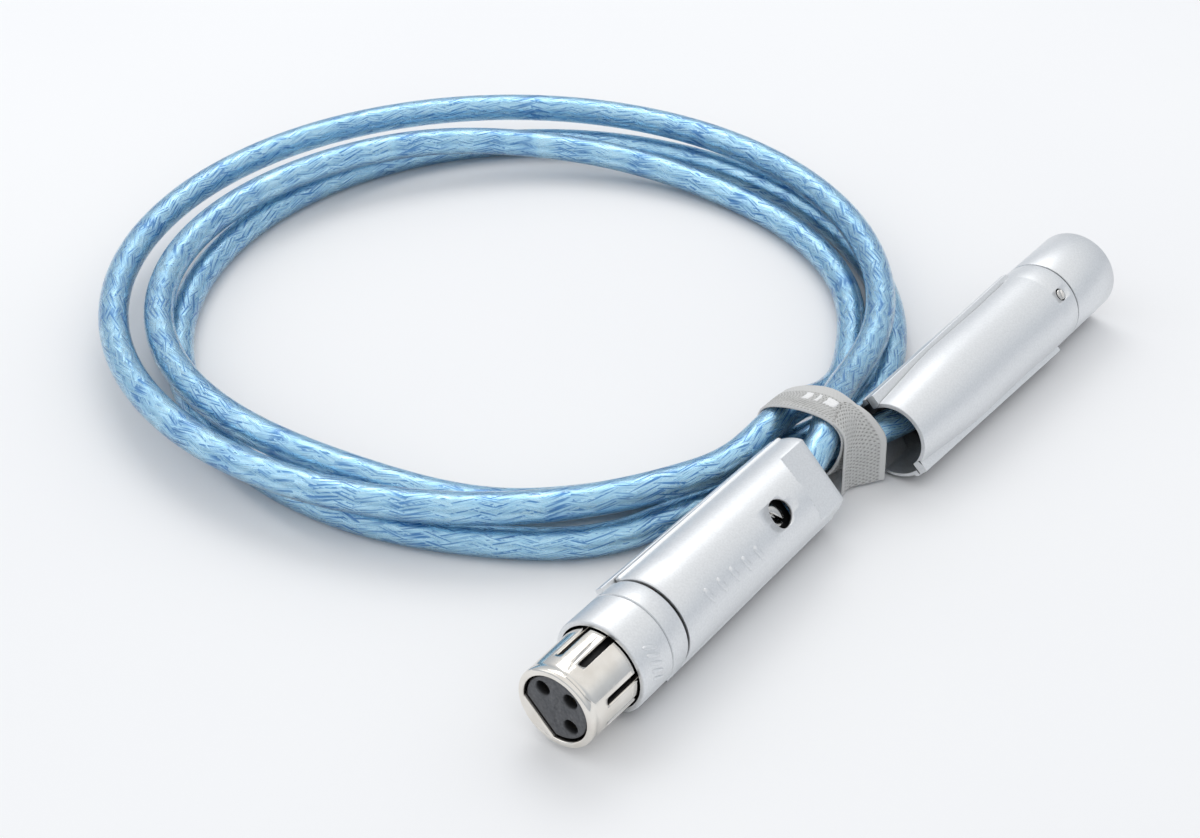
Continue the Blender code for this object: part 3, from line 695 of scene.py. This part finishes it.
def strands_at(line, along):
    """Where the cable crosses the plane at this distance along the socket axis, and its slopes there."""
    a = heading(SOCKET_HEADING)
    origin = beside_socket(0.0, 0.0, 0.0)
    across = np.array([a[1], -a[0], 0.0])
    s = (line - origin) @ a
    found = []
    for i in np.nonzero((s[:-1] <= along) & (along < s[1:]))[0]:
        step = line[i + 1] - line[i]
        p = line[i] + step * (along - s[i]) / (s[i + 1] - s[i]) - origin
        found.append((p @ across, p[2], step @ across / (step @ a), step[2] / (step @ a)))
    return [c for c in found if abs(c[0] + 6.0) < 16.0]


def support(line, along, offset, count):
    """How far the taut outline round the strands reaches in each direction, softened as by stiff webbing."""
    angles = 2 * math.pi * np.arange(count) / count
    u = np.stack([np.cos(angles), np.sin(angles)], axis=1)
    reach = np.full(count, -1e9)
    for x, z, slope, rise in strands_at(line, along):
        lean = u @ np.array([slope, rise])
        reach = np.maximum(reach, u @ np.array([x, z]) + offset * np.sqrt(1 + lean * lean))
    spread = np.exp(-0.5 * (np.minimum(angles, 2 * math.pi - angles) / math.radians(11.0)) ** 2)
    soft = np.real(np.fft.ifft(np.fft.fft(reach) * np.fft.fft(spread / spread.sum())))
    return angles, u, soft


def outline(line, along, offset, count=360):
    """Points of that outline, as (right, up) beside the socket axis."""
    angles, u, reach = support(line, along, offset, count)
    slope = (np.roll(reach, -1) - np.roll(reach, 1)) / (2 * angles[1])
    return reach[:, None] * u + slope[:, None] * np.stack([-u[:, 1], u[:, 0]], axis=1)


def even(points, count, closed):
    """The same path with evenly spaced points."""
    path = np.vstack([points, points[:1]]) if closed else points
    at = distances(path)
    wanted = np.linspace(0.0, at[-1], count + 1 if closed else count)[:count]
    return np.stack([np.interp(wanted, at, path[:, c]) for c in range(path.shape[1])], axis=1)


def webbing_section(stations, lift):
    """Columns across the strap: out over the top with its weave and hems, and back along the inside."""
    low, high = stations
    over = np.linspace(low, high, WEB_COLUMNS)
    back = np.linspace(high, low, BACK_COLUMNS + 2)[1:-1]
    along = np.concatenate([over, back])
    edge = np.minimum(over - low, high - over)
    hem = 0.10 * np.exp(-((edge - 0.5) / 0.35) ** 2)
    rounding = -0.36 * np.exp(-(edge / 0.22) ** 2)
    height = np.concatenate([lift + hem + rounding, np.zeros(len(back))])
    return along, height, np.concatenate([np.ones(WEB_COLUMNS), np.zeros(len(back))])


def weave(across, along, edge):
    """Height of the crossing diagonal threads."""
    first = np.cos(2 * math.pi * (along + 0.55 * across) / THREAD_PITCH)
    second = np.cos(2 * math.pi * (along - 0.55 * across) / THREAD_PITCH)
    return 0.055 * np.maximum(first, second) * np.clip((edge - 0.9) / 0.3, 0.0, 1.0)


def strap_rows(path_at, count, lift_at):
    """Rows along the strap; path_at gives its inner line at a station, and lift_at its thickness."""
    stations = np.linspace(STRAP_FROM, STRAP_TO, STRAP_STATIONS)
    inner = np.stack([path_at(along) for along in stations])
    outward = np.gradient(inner, axis=1)
    outward = np.stack([outward[..., 1], -outward[..., 0]], axis=-1)
    outward /= np.linalg.norm(outward, axis=-1)[..., None]
    rows = []
    travelled = distances(inner[STRAP_STATIONS // 2])
    for k in range(count):
        along, height, woven = webbing_section((STRAP_FROM, STRAP_TO), lift_at[k])
        edge = np.minimum(along - STRAP_FROM, STRAP_TO - along)
        height = height + woven * weave(along, travelled[k], edge)
        base = np.stack([np.interp(along, stations, inner[:, k, c]) for c in range(2)], axis=1)
        out = np.stack([np.interp(along, stations, outward[:, k, c]) for c in range(2)], axis=1)
        spot = base + out * height[:, None]
        rows.append([beside_socket(s, p[0], p[1]) * MM for s, p in zip(along, spot)])
    return np.array(rows)


def patch_rows(path, low, high, first, last, lift):
    """A thin rounded patch on the strap, between two stations and two places round it."""
    across = np.linspace(low, high, 9)
    edge = np.minimum(across - low, high - across)
    round_off = 1.0 - np.exp(-(edge / 0.12) ** 2)
    rows = []
    places = range(first, last)
    for i, k in enumerate(places):
        end = min(1.0, min(i, len(places) - 1 - i) / 2.0 + 0.15)
        ring = []
        for s, share in zip(across, round_off):
            spot, out = path(s, k)
            up = -0.25 + (0.25 + lift) * (0.3 + 0.7 * share) * end
            p = spot + out * up
            ring.append(beside_socket(s, p[0], p[1]) * MM)
        for s in across[::-1]:
            spot, out = path(s, k)
            p = spot - out * 0.3
            ring.append(beside_socket(s, p[0], p[1]) * MM)
        rows.append(ring)
    return np.array(rows)


def print_bars(line, reach):
    """Plain bars printed across the top of the loop."""
    count = LOOP_POINTS
    stations = np.linspace(STRAP_FROM, STRAP_TO, STRAP_STATIONS)
    path = np.stack([even(outline(line, s, reach), count, True) for s in stations])
    out = np.roll(path, -1, axis=1) - np.roll(path, 1, axis=1)
    out = np.stack([out[..., 1], -out[..., 0]], axis=-1)
    out /= np.linalg.norm(out, axis=-1)[..., None]

    def at(s, k):
        spot = np.array([np.interp(s, stations, path[:, k % count, c]) for c in range(2)])
        way = np.array([np.interp(s, stations, out[:, k % count, c]) for c in range(2)])
        return spot, way

    bars = []
    for first, last, low, high in PRINT_BARS:
        rows = patch_rows(at, low, high, first, last, PRINT_LIFT)
        bars.append(grid_mesh("bar", rows, True, caps=True))
    printed = new_object("strap_print", joined("strap_print", bars), white_print(), "coil")


def make_strap(line):
    """The loop round the bundle, and its free end, which lies on the loop and hangs down its right side."""
    inner = CABLE_R + STRAP_GAP
    look = webbing()
    rows = strap_rows(lambda s: even(outline(line, s, inner), LOOP_POINTS, True), LOOP_POINTS,
                      np.full(LOOP_POINTS, STRAP_THICK))
    band = new_object("strap_loop", grid_mesh("strap_loop", rows, True, closed_along=True), look, "coil")
    print_bars(line, inner + STRAP_THICK)
    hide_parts("strap_band")
    near = inner + STRAP_THICK + 0.08

    def tail_path(along):
        points = outline(line, along, near)[:TAIL_ARC]
        start = np.array([[points[0][0] + 0.3, TAIL_END]])
        return even(np.vstack([start, points]), TAIL_POINTS, False)

    root = np.clip((TAIL_POINTS - np.arange(TAIL_POINTS)) / 30.0, 0.0, 1.0)
    rows = strap_rows(tail_path, TAIL_POINTS, TAIL_TIP + (STRAP_THICK - TAIL_TIP) * root)
    tail = new_object("strap_free_end", grid_mesh("strap_free_end", rows, True, caps=True), look, "strap_end")
    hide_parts("strap_tail")


# ---------------------------------------------------------------- connectors

def round_shell(degrees):
    """The outward and the sideways direction at an angle from the cover side."""
    t = math.radians(degrees)
    return Vector((math.sin(t), math.cos(t), 0.0)), Vector((math.cos(t), -math.sin(t), 0.0))


def facet_clip(x, z, facet):
    """Height left by the flat at the rear of a cover; its front edge bends and is softer on the left."""
    half = COVER_REAR_R
    side = x / half
    crest = FACET_CREST + 2.6 * side * side + 0.5 * side
    ramp = mix(0.7, 2.6, 0.5 - 0.5 * side)
    t = min(1.0, max(0.0, (-z - crest) / ramp))
    return facet + (COVER_R + 0.6 - facet) * (1.0 - t * t * (3 - 2 * t))


def cover_ring(z, radius, shrink, facet):
    """Cross-section of a cover: an arch with a beaded lip along each long edge."""
    low = PARTING + GAP
    foot = math.degrees(math.asin(0.95 / radius))
    outer = []
    for x, y in arc(radius - shrink, foot, 180 - foot, 81):
        outer.append((x, min(y, facet_clip(x, z, facet) - shrink)))
    inner_r = radius - WALL
    inside = math.degrees(math.asin(low / inner_r))
    inner = []
    for x, y in arc(inner_r, 180 - inside, inside, 89):
        inner.append((x, min(y, facet_clip(x, z, facet) - WALL)))
    lip = radius + 0.45 - shrink
    bead = [(lip - 0.08, low), (lip, low + 0.12), (lip, 0.55), (lip - 0.18, 0.78)]
    points = bead + outer + [(-x, y) for x, y in reversed(bead)] + inner
    return [(x, y, z) for x, y in points]


def make_cover(side, place, metal, facet):
    stations = [(-COVER_FRONT, 0.25), (-COVER_FRONT - 0.1, 0.1), (-COVER_FRONT - 0.3, 0.0)]
    stations += [(z, 0.0) for z in (-35.0, -45.0, -55.0, -63.0, -66.0)]
    stations += [(-z, 0.0) for z in np.arange(68.0, 74.6, 0.3)]
    stations += [(z, 0.0) for z in (-76.0, -78.0, -LENGTH + 0.3)] + [(-LENGTH + 0.1, 0.08), (-LENGTH, 0.22)]
    bm = bmesh.new()
    rings = []
    for z, shrink in stations:
        t = (-z - COVER_FRONT) / (LENGTH - COVER_FRONT)
        rings.append(cover_ring(z, mix(COVER_R, COVER_REAR_R, t), shrink, facet))
    loft(bm, rings, place, folded=True)
    cover = from_bmesh(side + "_rear_cover", bm, metal, "coil")
    bm = bmesh.new()
    window = [(0, 4.0), (WINDOW_R, 4.0), (WINDOW_R, 12.0), (0, 12.0)]
    lathe(bm, window, 64, place, axis="y", at=(0.0, 0.0, -SCREW_AT))
    cut_away(cover, bm, "window")
    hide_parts(side + "_cover")


def half_ring(z, radius, wing):
    """Cross-section of the half shell under the cover, with a grooved wing along each edge."""
    top = PARTING
    low = PARTING - WING_DEEP
    groove = low - 0.35
    start = math.degrees(math.asin(-groove / radius))
    outer = [((radius - 0.4) * math.cos(math.asin(-low / radius)), low)]
    outer += arc(radius, -start, -180 + start, 73)
    outer.append((-outer[0][0], low))
    inner_r = radius - WALL
    inside = math.degrees(math.asin(-top / inner_r))
    inner = arc(inner_r, -180 + inside, -inside, 81)
    edge = [(wing - 0.1, top), (wing, top - 0.1), (wing, low + 0.12), (wing - 0.12, low)]
    points = edge + outer + [(-x, y) for x, y in reversed(edge)] + inner
    return [(x, y, z) for x, y in points]


def ring_profile(front, bore):
    """Turned ring at the front of a body: rounded front edge and a groove near the rear on the socket."""
    rear = -26.5
    outer = [(SHELL_R - 0.42, front), (SHELL_R - 0.2, front - 0.06), (SHELL_R - 0.06, front - 0.2),
             (SHELL_R, front - 0.45)]
    if front > -15:
        outer += [(SHELL_R, -21.15), (SHELL_R - 0.1, -21.25), (SHELL_R - 0.34, -21.32),
                  (SHELL_R - 0.34, -21.55), (SHELL_R - 0.1, -21.62), (SHELL_R, -21.72)]
    return outer + [(SHELL_R, rear + 0.95), (SHELL_R - 0.25, rear + 0.3), (SHELL_R - 0.7, rear), (bore, rear),
                    (bore, front), (bore + 0.1, front)]


def make_body(side, front, bore, screw_z, place, metal):
    """Open half shell, and the ring at its front, each with the insert screw's hole."""
    bm = bmesh.new()
    rings = []
    zs = (-23.6, -24.0, -26.0, -30.0, -38.0, -48.0, -58.0, -64.0, -72.0, -78.0, -LENGTH + 0.15, -LENGTH)
    for z in zs:
        t = (-z - BODY_FRONT) / (LENGTH - BODY_FRONT)
        radius = BODY_R if z > -60 else mix(BODY_R, BODY_REAR_R, (-z - 60.0) / (LENGTH - 60.0))
        radius += (SHELL_R + 0.02 - BODY_R) * min(1.0, max(0.0, (z + 36.0) / 10.0))
        rounding = 0.12 if z == -LENGTH else 0.0
        rings.append(half_ring(z, radius - rounding, mix(WING_HALF, WING_REAR_HALF, t)))
    loft(bm, rings, place, folded=True)
    body = from_bmesh(side + "_half_shell", bm, metal, "coil")
    bm = bmesh.new()
    lathe(bm, ring_profile(front, bore), TURNED_STEPS, place)
    ring = from_bmesh(side + "_ring", bm, metal, "coil")
    for piece in (body, ring):
        bm = bmesh.new()
        hole = [(0, -7.3), (1.45, -7.3), (1.45, -12.0), (0, -12.0)]
        lathe(bm, hole, 48, place, axis="y", at=(0.0, 0.0, screw_z))
        cut_away(piece, bm, "screw_hole")
    if side == "socket":
        bm = bmesh.new()
        window = ((-2.6, -12.0), (2.6, -12.0), (2.6, -7.2), (-2.6, -7.2))
        loft(bm, [[(x, y, z) for x, y in window] for z in (-20.0, -14.8)], place)
        cut_away(ring, bm, "latch_window")
    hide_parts(side + "_body")


def make_nose(place, metal):
    """Polished spring sleeve: rounded rim, four round-ended slots, key slot and the land behind the flat."""
    rim = [(NOSE_R - 0.75 + 0.7 * math.sin(t), -0.72 + 0.7 * math.cos(t))
           for t in np.linspace(0, math.pi / 2, 9)]
    inner_rim = [(NOSE_BORE + 0.35 - 0.35 * math.sin(t), -0.35 + 0.35 * math.cos(t))
                 for t in np.linspace(math.pi / 2, 0, 6)]
    profile = inner_rim + rim
    profile += [(NOSE_R - 0.05, -1.5), (NOSE_R - 0.13, -1.65), (NOSE_R - 0.1, -2.2), (NOSE_R, -4.0),
                (NOSE_R + 0.1, -12.0), (NOSE_R + 0.1, -21.5), (NOSE_BORE, -21.5)]
    bm = bmesh.new()
    lathe(bm, profile, TURNED_STEPS, place)
    nose = from_bmesh("socket_sleeve", bm, metal, "coil")
    for angle in (-63.5, -28.5, 28.5, 63.5):
        bm = bmesh.new()
        turn = Matrix.Rotation(-math.radians(angle), 4, "Z")
        ring = [(-0.8, -20.0), (0.8, -20.0)]
        ring += [(0.8 * math.cos(t), -5.4 + 0.8 * math.sin(t)) for t in np.linspace(0, math.pi, 17)]
        loft(bm, [[turn @ Vector((x, height, z)) for x, z in ring] for height in (5.9, 10.5)], place)
        cut_away(nose, bm, "slot")
    bm = bmesh.new()
    ring = ((-2.3, -12.0), (2.3, -12.0), (2.3, -5.6), (-2.3, -5.6))
    loft(bm, [[(x, y, z) for x, y in ring] for z in (-24.0, -3.2)], place)
    cut_away(nose, bm, "key")
    curled = ((9.4, -42.0), (7.4, -42.2), (5.6, -41.2), (4.4, -39.6), (3.4, -36.6), (2.4, -34.6),
              (1.5, -33.4))
    round_rim = ((1.05, -30.0), (0.95, -20.0), (0.95, -8.0), (1.0, 2.0), (1.3, 8.0), (1.6, 13.0))
    for path in (curled, round_rim):
        bm = bmesh.new()
        rings = []
        for s, degrees in even(np.array(path), 26, False):
            out, side = round_shell(degrees)
            centre = out * (NOSE_R + 0.02) + Vector((0.0, 0.0, -s))
            slant = side * 0.8 + Vector((0, 0, 0.6))
            rings.append([centre + 0.11 * (math.cos(q) * out + math.sin(q) * slant)
                          for q in np.linspace(0, 2 * math.pi, 9)[:-1]])
        loft(bm, rings, place)
        cut_away(nose, bm, "mark")
    bm = bmesh.new()
    flat = 5.05
    reach = math.degrees(math.acos(flat / (NOSE_BORE + 0.1)))
    chord = arc(NOSE_BORE + 0.1, -90 - reach, -90 + reach, 17)
    loft(bm, [[(x, min(y, -flat - grow), z) for x, y in chord]
              for z, grow in ((0.0, 0.35), (-0.12, 0.12), (-0.4, 0.0), (-3.1, 0.0))], place)
    land = from_bmesh("socket_sleeve_land", bm, metal, "coil")
    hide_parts("socket_nose")


def insert_outline(radius, flat):
    """A circle cut off by a flat on the side away from the cover."""
    half = math.degrees(math.acos(flat / radius))
    return arc(radius, -90 + half, 270 - half, 97)


def make_insert(place, plastic):
    """D-shaped contact block with three holes and two small moulding marks."""
    bm = bmesh.new()
    rings = []
    for z, radius, flat in ((-0.62, 6.05, 4.5), (-0.68, 6.25, 4.66), (-0.85, 6.38, 4.76),
                            (-1.1, INSERT_R, 4.8), (-22.5, INSERT_R, 4.8)):
        rings.append([(x, y, z) for x, y in insert_outline(radius, flat)])
    loft(bm, rings, place)
    insert = from_bmesh("socket_contact_block", bm, plastic, "coil")
    for x, y in PINS:
        bm = bmesh.new()
        hole = [(0, -24.0), (1.4, -24.0), (1.4, -0.95), (1.5, -0.75), (1.6, -0.62), (1.6, 1.0), (0, 1.0)]
        lathe(bm, hole, 40, place, at=(x, y, 0.0))
        cut_away(insert, bm, "hole")
    for x, y in ((0.0, -0.2), (2.0, -2.3)):
        bm = bmesh.new()
        lathe(bm, [(0, -0.75), (0.35, -0.72), (0.5, -0.5), (0, -0.5)], 20, place, at=(x, y, 0.0))
        cut_away(insert, bm, "gate")
    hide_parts("socket_insert")


def make_barrel(place, metal):
    """Plain tube round the pins, with a catch for the latch of the socket that goes in."""
    profile = [(BARREL_BORE + 0.35, 0.0), (SHELL_R - 0.4, 0.0), (SHELL_R - 0.12, -0.1), (SHELL_R, -0.35),
               (SHELL_R, -BARREL_LENGTH + 0.25), (SHELL_R - 0.08, -BARREL_LENGTH + 0.06),
               (SHELL_R - 0.25, -BARREL_LENGTH), (8.45, -BARREL_LENGTH), (8.45, -23.0), (8.2, -23.0),
               (8.2, -13.6), (BARREL_BORE, -13.6), (BARREL_BORE, -0.4), (BARREL_BORE + 0.1, -0.12)]
    bm = bmesh.new()
    lathe(bm, profile, TURNED_STEPS, place)
    barrel = from_bmesh("plug_front_tube", bm, metal, "coil")
    bm = bmesh.new()
    ring = ((-2.2, -9.1), (2.2, -9.1), (2.2, -7.9), (-2.2, -7.9))
    loft(bm, [[(x, y, z) for x, y in ring] for z in (-9.2, -5.4)], place)
    cut_away(barrel, bm, "catch")
    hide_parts("plug_barrel")


def make_screw(node, place, at_z, way, size, body, metal):
    """Slotted screw head with a domed edge; size is its radius, and the heights of shank, head and top."""
    head_r, (low, mid, top) = size
    profile = [(0, low), (0.55 * head_r, low), (0.55 * head_r, mid), (head_r, mid), (head_r, top - 0.3)]
    profile += [(head_r - 0.3 + 0.3 * math.cos(t), top - 0.3 + 0.3 * math.sin(t))
                for t in np.linspace(0.3, 1.57, 5)]
    profile.append((0, top))
    bm = bmesh.new()
    lathe(bm, [(r, way * h) for r, h in profile], 64, place, axis="y", at=(0.0, 0.0, at_z))
    screw = from_bmesh(node + "_head", bm, metal, body)
    turn = Matrix.Translation((0, 0, at_z)) @ Matrix.Rotation(math.radians(35), 4, "Y")
    half = 0.16 * head_r + 0.02
    ring = ((-head_r - 1, -half), (head_r + 1, -half), (head_r + 1, half), (-head_r - 1, half))
    bm = bmesh.new()
    bottom = top - 0.45 * (top - mid)
    loft(bm, [[turn @ Vector((x, way * y, z)) for x, z in ring] for y in (bottom, top + 2.0)], place)
    cut_away(screw, bm, "slot")
    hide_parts(node)


def raised_marks(name, place, spots, metal, radius_at):
    """Plain raised lozenges on a shell: (along, degrees round it, half-length, half-width, lean)."""
    bm = bmesh.new()
    for along, degrees, long, wide, lean in spots:
        out, side = round_shell(degrees)
        radius = radius_at(along)
        centre = out * radius + Vector((0.0, 0.0, -along))
        first = (side * math.cos(lean) + Vector((0, 0, -1)) * math.sin(lean)) * long
        second = (Vector((0, 0, -1)) * math.cos(lean) - side * math.sin(lean)) * wide
        rings = []
        squareness = 0.62
        for height, share in ((-0.4, 1.0), (0.05, 1.0), (0.2, 0.86), (0.28, 0.6)):
            ring = []
            for q in np.linspace(0, 2 * math.pi, 17)[:-1]:
                cx = math.copysign(abs(math.cos(q)) ** squareness, math.cos(q)) * share
                cy = math.copysign(abs(math.sin(q)) ** squareness, math.sin(q)) * share
                spot = centre + first * cx + second * cy
                flat = math.hypot(spot.x, spot.y)
                scale = (radius + height) / flat
                ring.append(Vector((spot.x * scale, spot.y * scale, spot.z)))
            rings.append(ring)
        loft(bm, rings, place)
    marks = from_bmesh(name, bm, metal, "coil", angle=60.0)


def make_connectors(looks):
    socket_place = placing(beside_socket(0.0, 0.0, AXIS_HEIGHT), -1.0, SOCKET_ROLL)
    rear = beside_socket(PLUG_REAR[0], PLUG_REAR[1], AXIS_HEIGHT)
    plug_place = placing(rear + LENGTH * heading(PLUG_HEADING), 1.0, PLUG_ROLL)
    satin, nickel, steel = looks["satin"], looks["nickel"], looks["steel"]
    make_body("socket", SOCKET_RING_FRONT, 8.55, SOCKET_INSERT_SCREW, socket_place, satin)
    make_body("plug", PLUG_RING_FRONT, 8.75, PLUG_INSERT_SCREW, plug_place, satin)
    make_cover("socket", socket_place, satin, SOCKET_FACET_HEIGHT)
    make_cover("plug", plug_place, satin, FACET_HEIGHT)
    make_nose(socket_place, nickel)
    make_insert(socket_place, looks["insert"])
    make_barrel(plug_place, satin)
    for side, place, insert_z in (("socket", socket_place, SOCKET_INSERT_SCREW),
                                  ("plug", plug_place, PLUG_INSERT_SCREW)):
        clamp_screw = side + "_clamp_screw"
        make_screw(clamp_screw, place, -SCREW_AT, 1.0, CLAMP_SCREW, clamp_screw, steel)
        make_screw(side + "_insert_screw", place, insert_z, -1.0, INSERT_SCREW, "coil", steel)

    def cover_radius(along):
        return mix(COVER_R, COVER_REAR_R, (along - COVER_FRONT) / (LENGTH - COVER_FRONT))

    spots = [(35.0 + 3.9 * k, 13.0 + 1.0 * k, 1.9, 0.62, 0.35) for k in range(5)]
    raised_marks("socket_cover_marks", socket_place, spots, satin, cover_radius)
    spots = [(16.9, 8.0 + 9.5 * k, 1.7, 0.42, 1.1) for k in range(5)]
    raised_marks("socket_ring_marks", socket_place, spots, satin, lambda along: SHELL_R)


# ---------------------------------------------------------------- the script

def smooth_node(obj, material):
    """Gives a CAD node its finish and smooth shading; its points stay as they are."""
    obj.data.materials.clear()
    obj.data.materials.append(material)
    weld = obj.modifiers.new("Weld", "WELD")
    weld.merge_threshold = 1e-6
    obj.data.polygons.foreach_set("use_smooth", np.ones(len(obj.data.polygons), bool))


def finish_of(name):
    """Which look a CAD node takes."""
    return next(look for ending, look in FINISHES if name.endswith(ending) or name[:-2].endswith(ending))


def main():
    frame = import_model()
    make_camera()
    line = make_cable()
    make_stage()
    looks = {"satin": satin_metal(), "nickel": polished_nickel(),
             # the contact block gets painted shade in its holes
             "insert": moulded("insert_plastic", (0.085, 0.088, 0.095), 0.55, True),
             "clamp": moulded("clamp_plastic", (0.03, 0.03, 0.032), 0.55),
             "gold": plated("contact_gold", (0.83, 0.62, 0.28), 0.25),
             "steel": plated("screw_steel", (0.70, 0.69, 0.67), 0.16),
             "red": moulded("lead_red", (0.5, 0.04, 0.03), 0.5),
             "white": moulded("lead_white", (0.75, 0.75, 0.73), 0.5),
             "copper": plated("lead_copper", (0.75, 0.55, 0.42), 0.35)}
    make_strap(line)
    make_connectors(looks)
    for name, obj in frame["nodes"].items():
        if not obj.hide_render:
            smooth_node(obj, looks[finish_of(name)])


main()
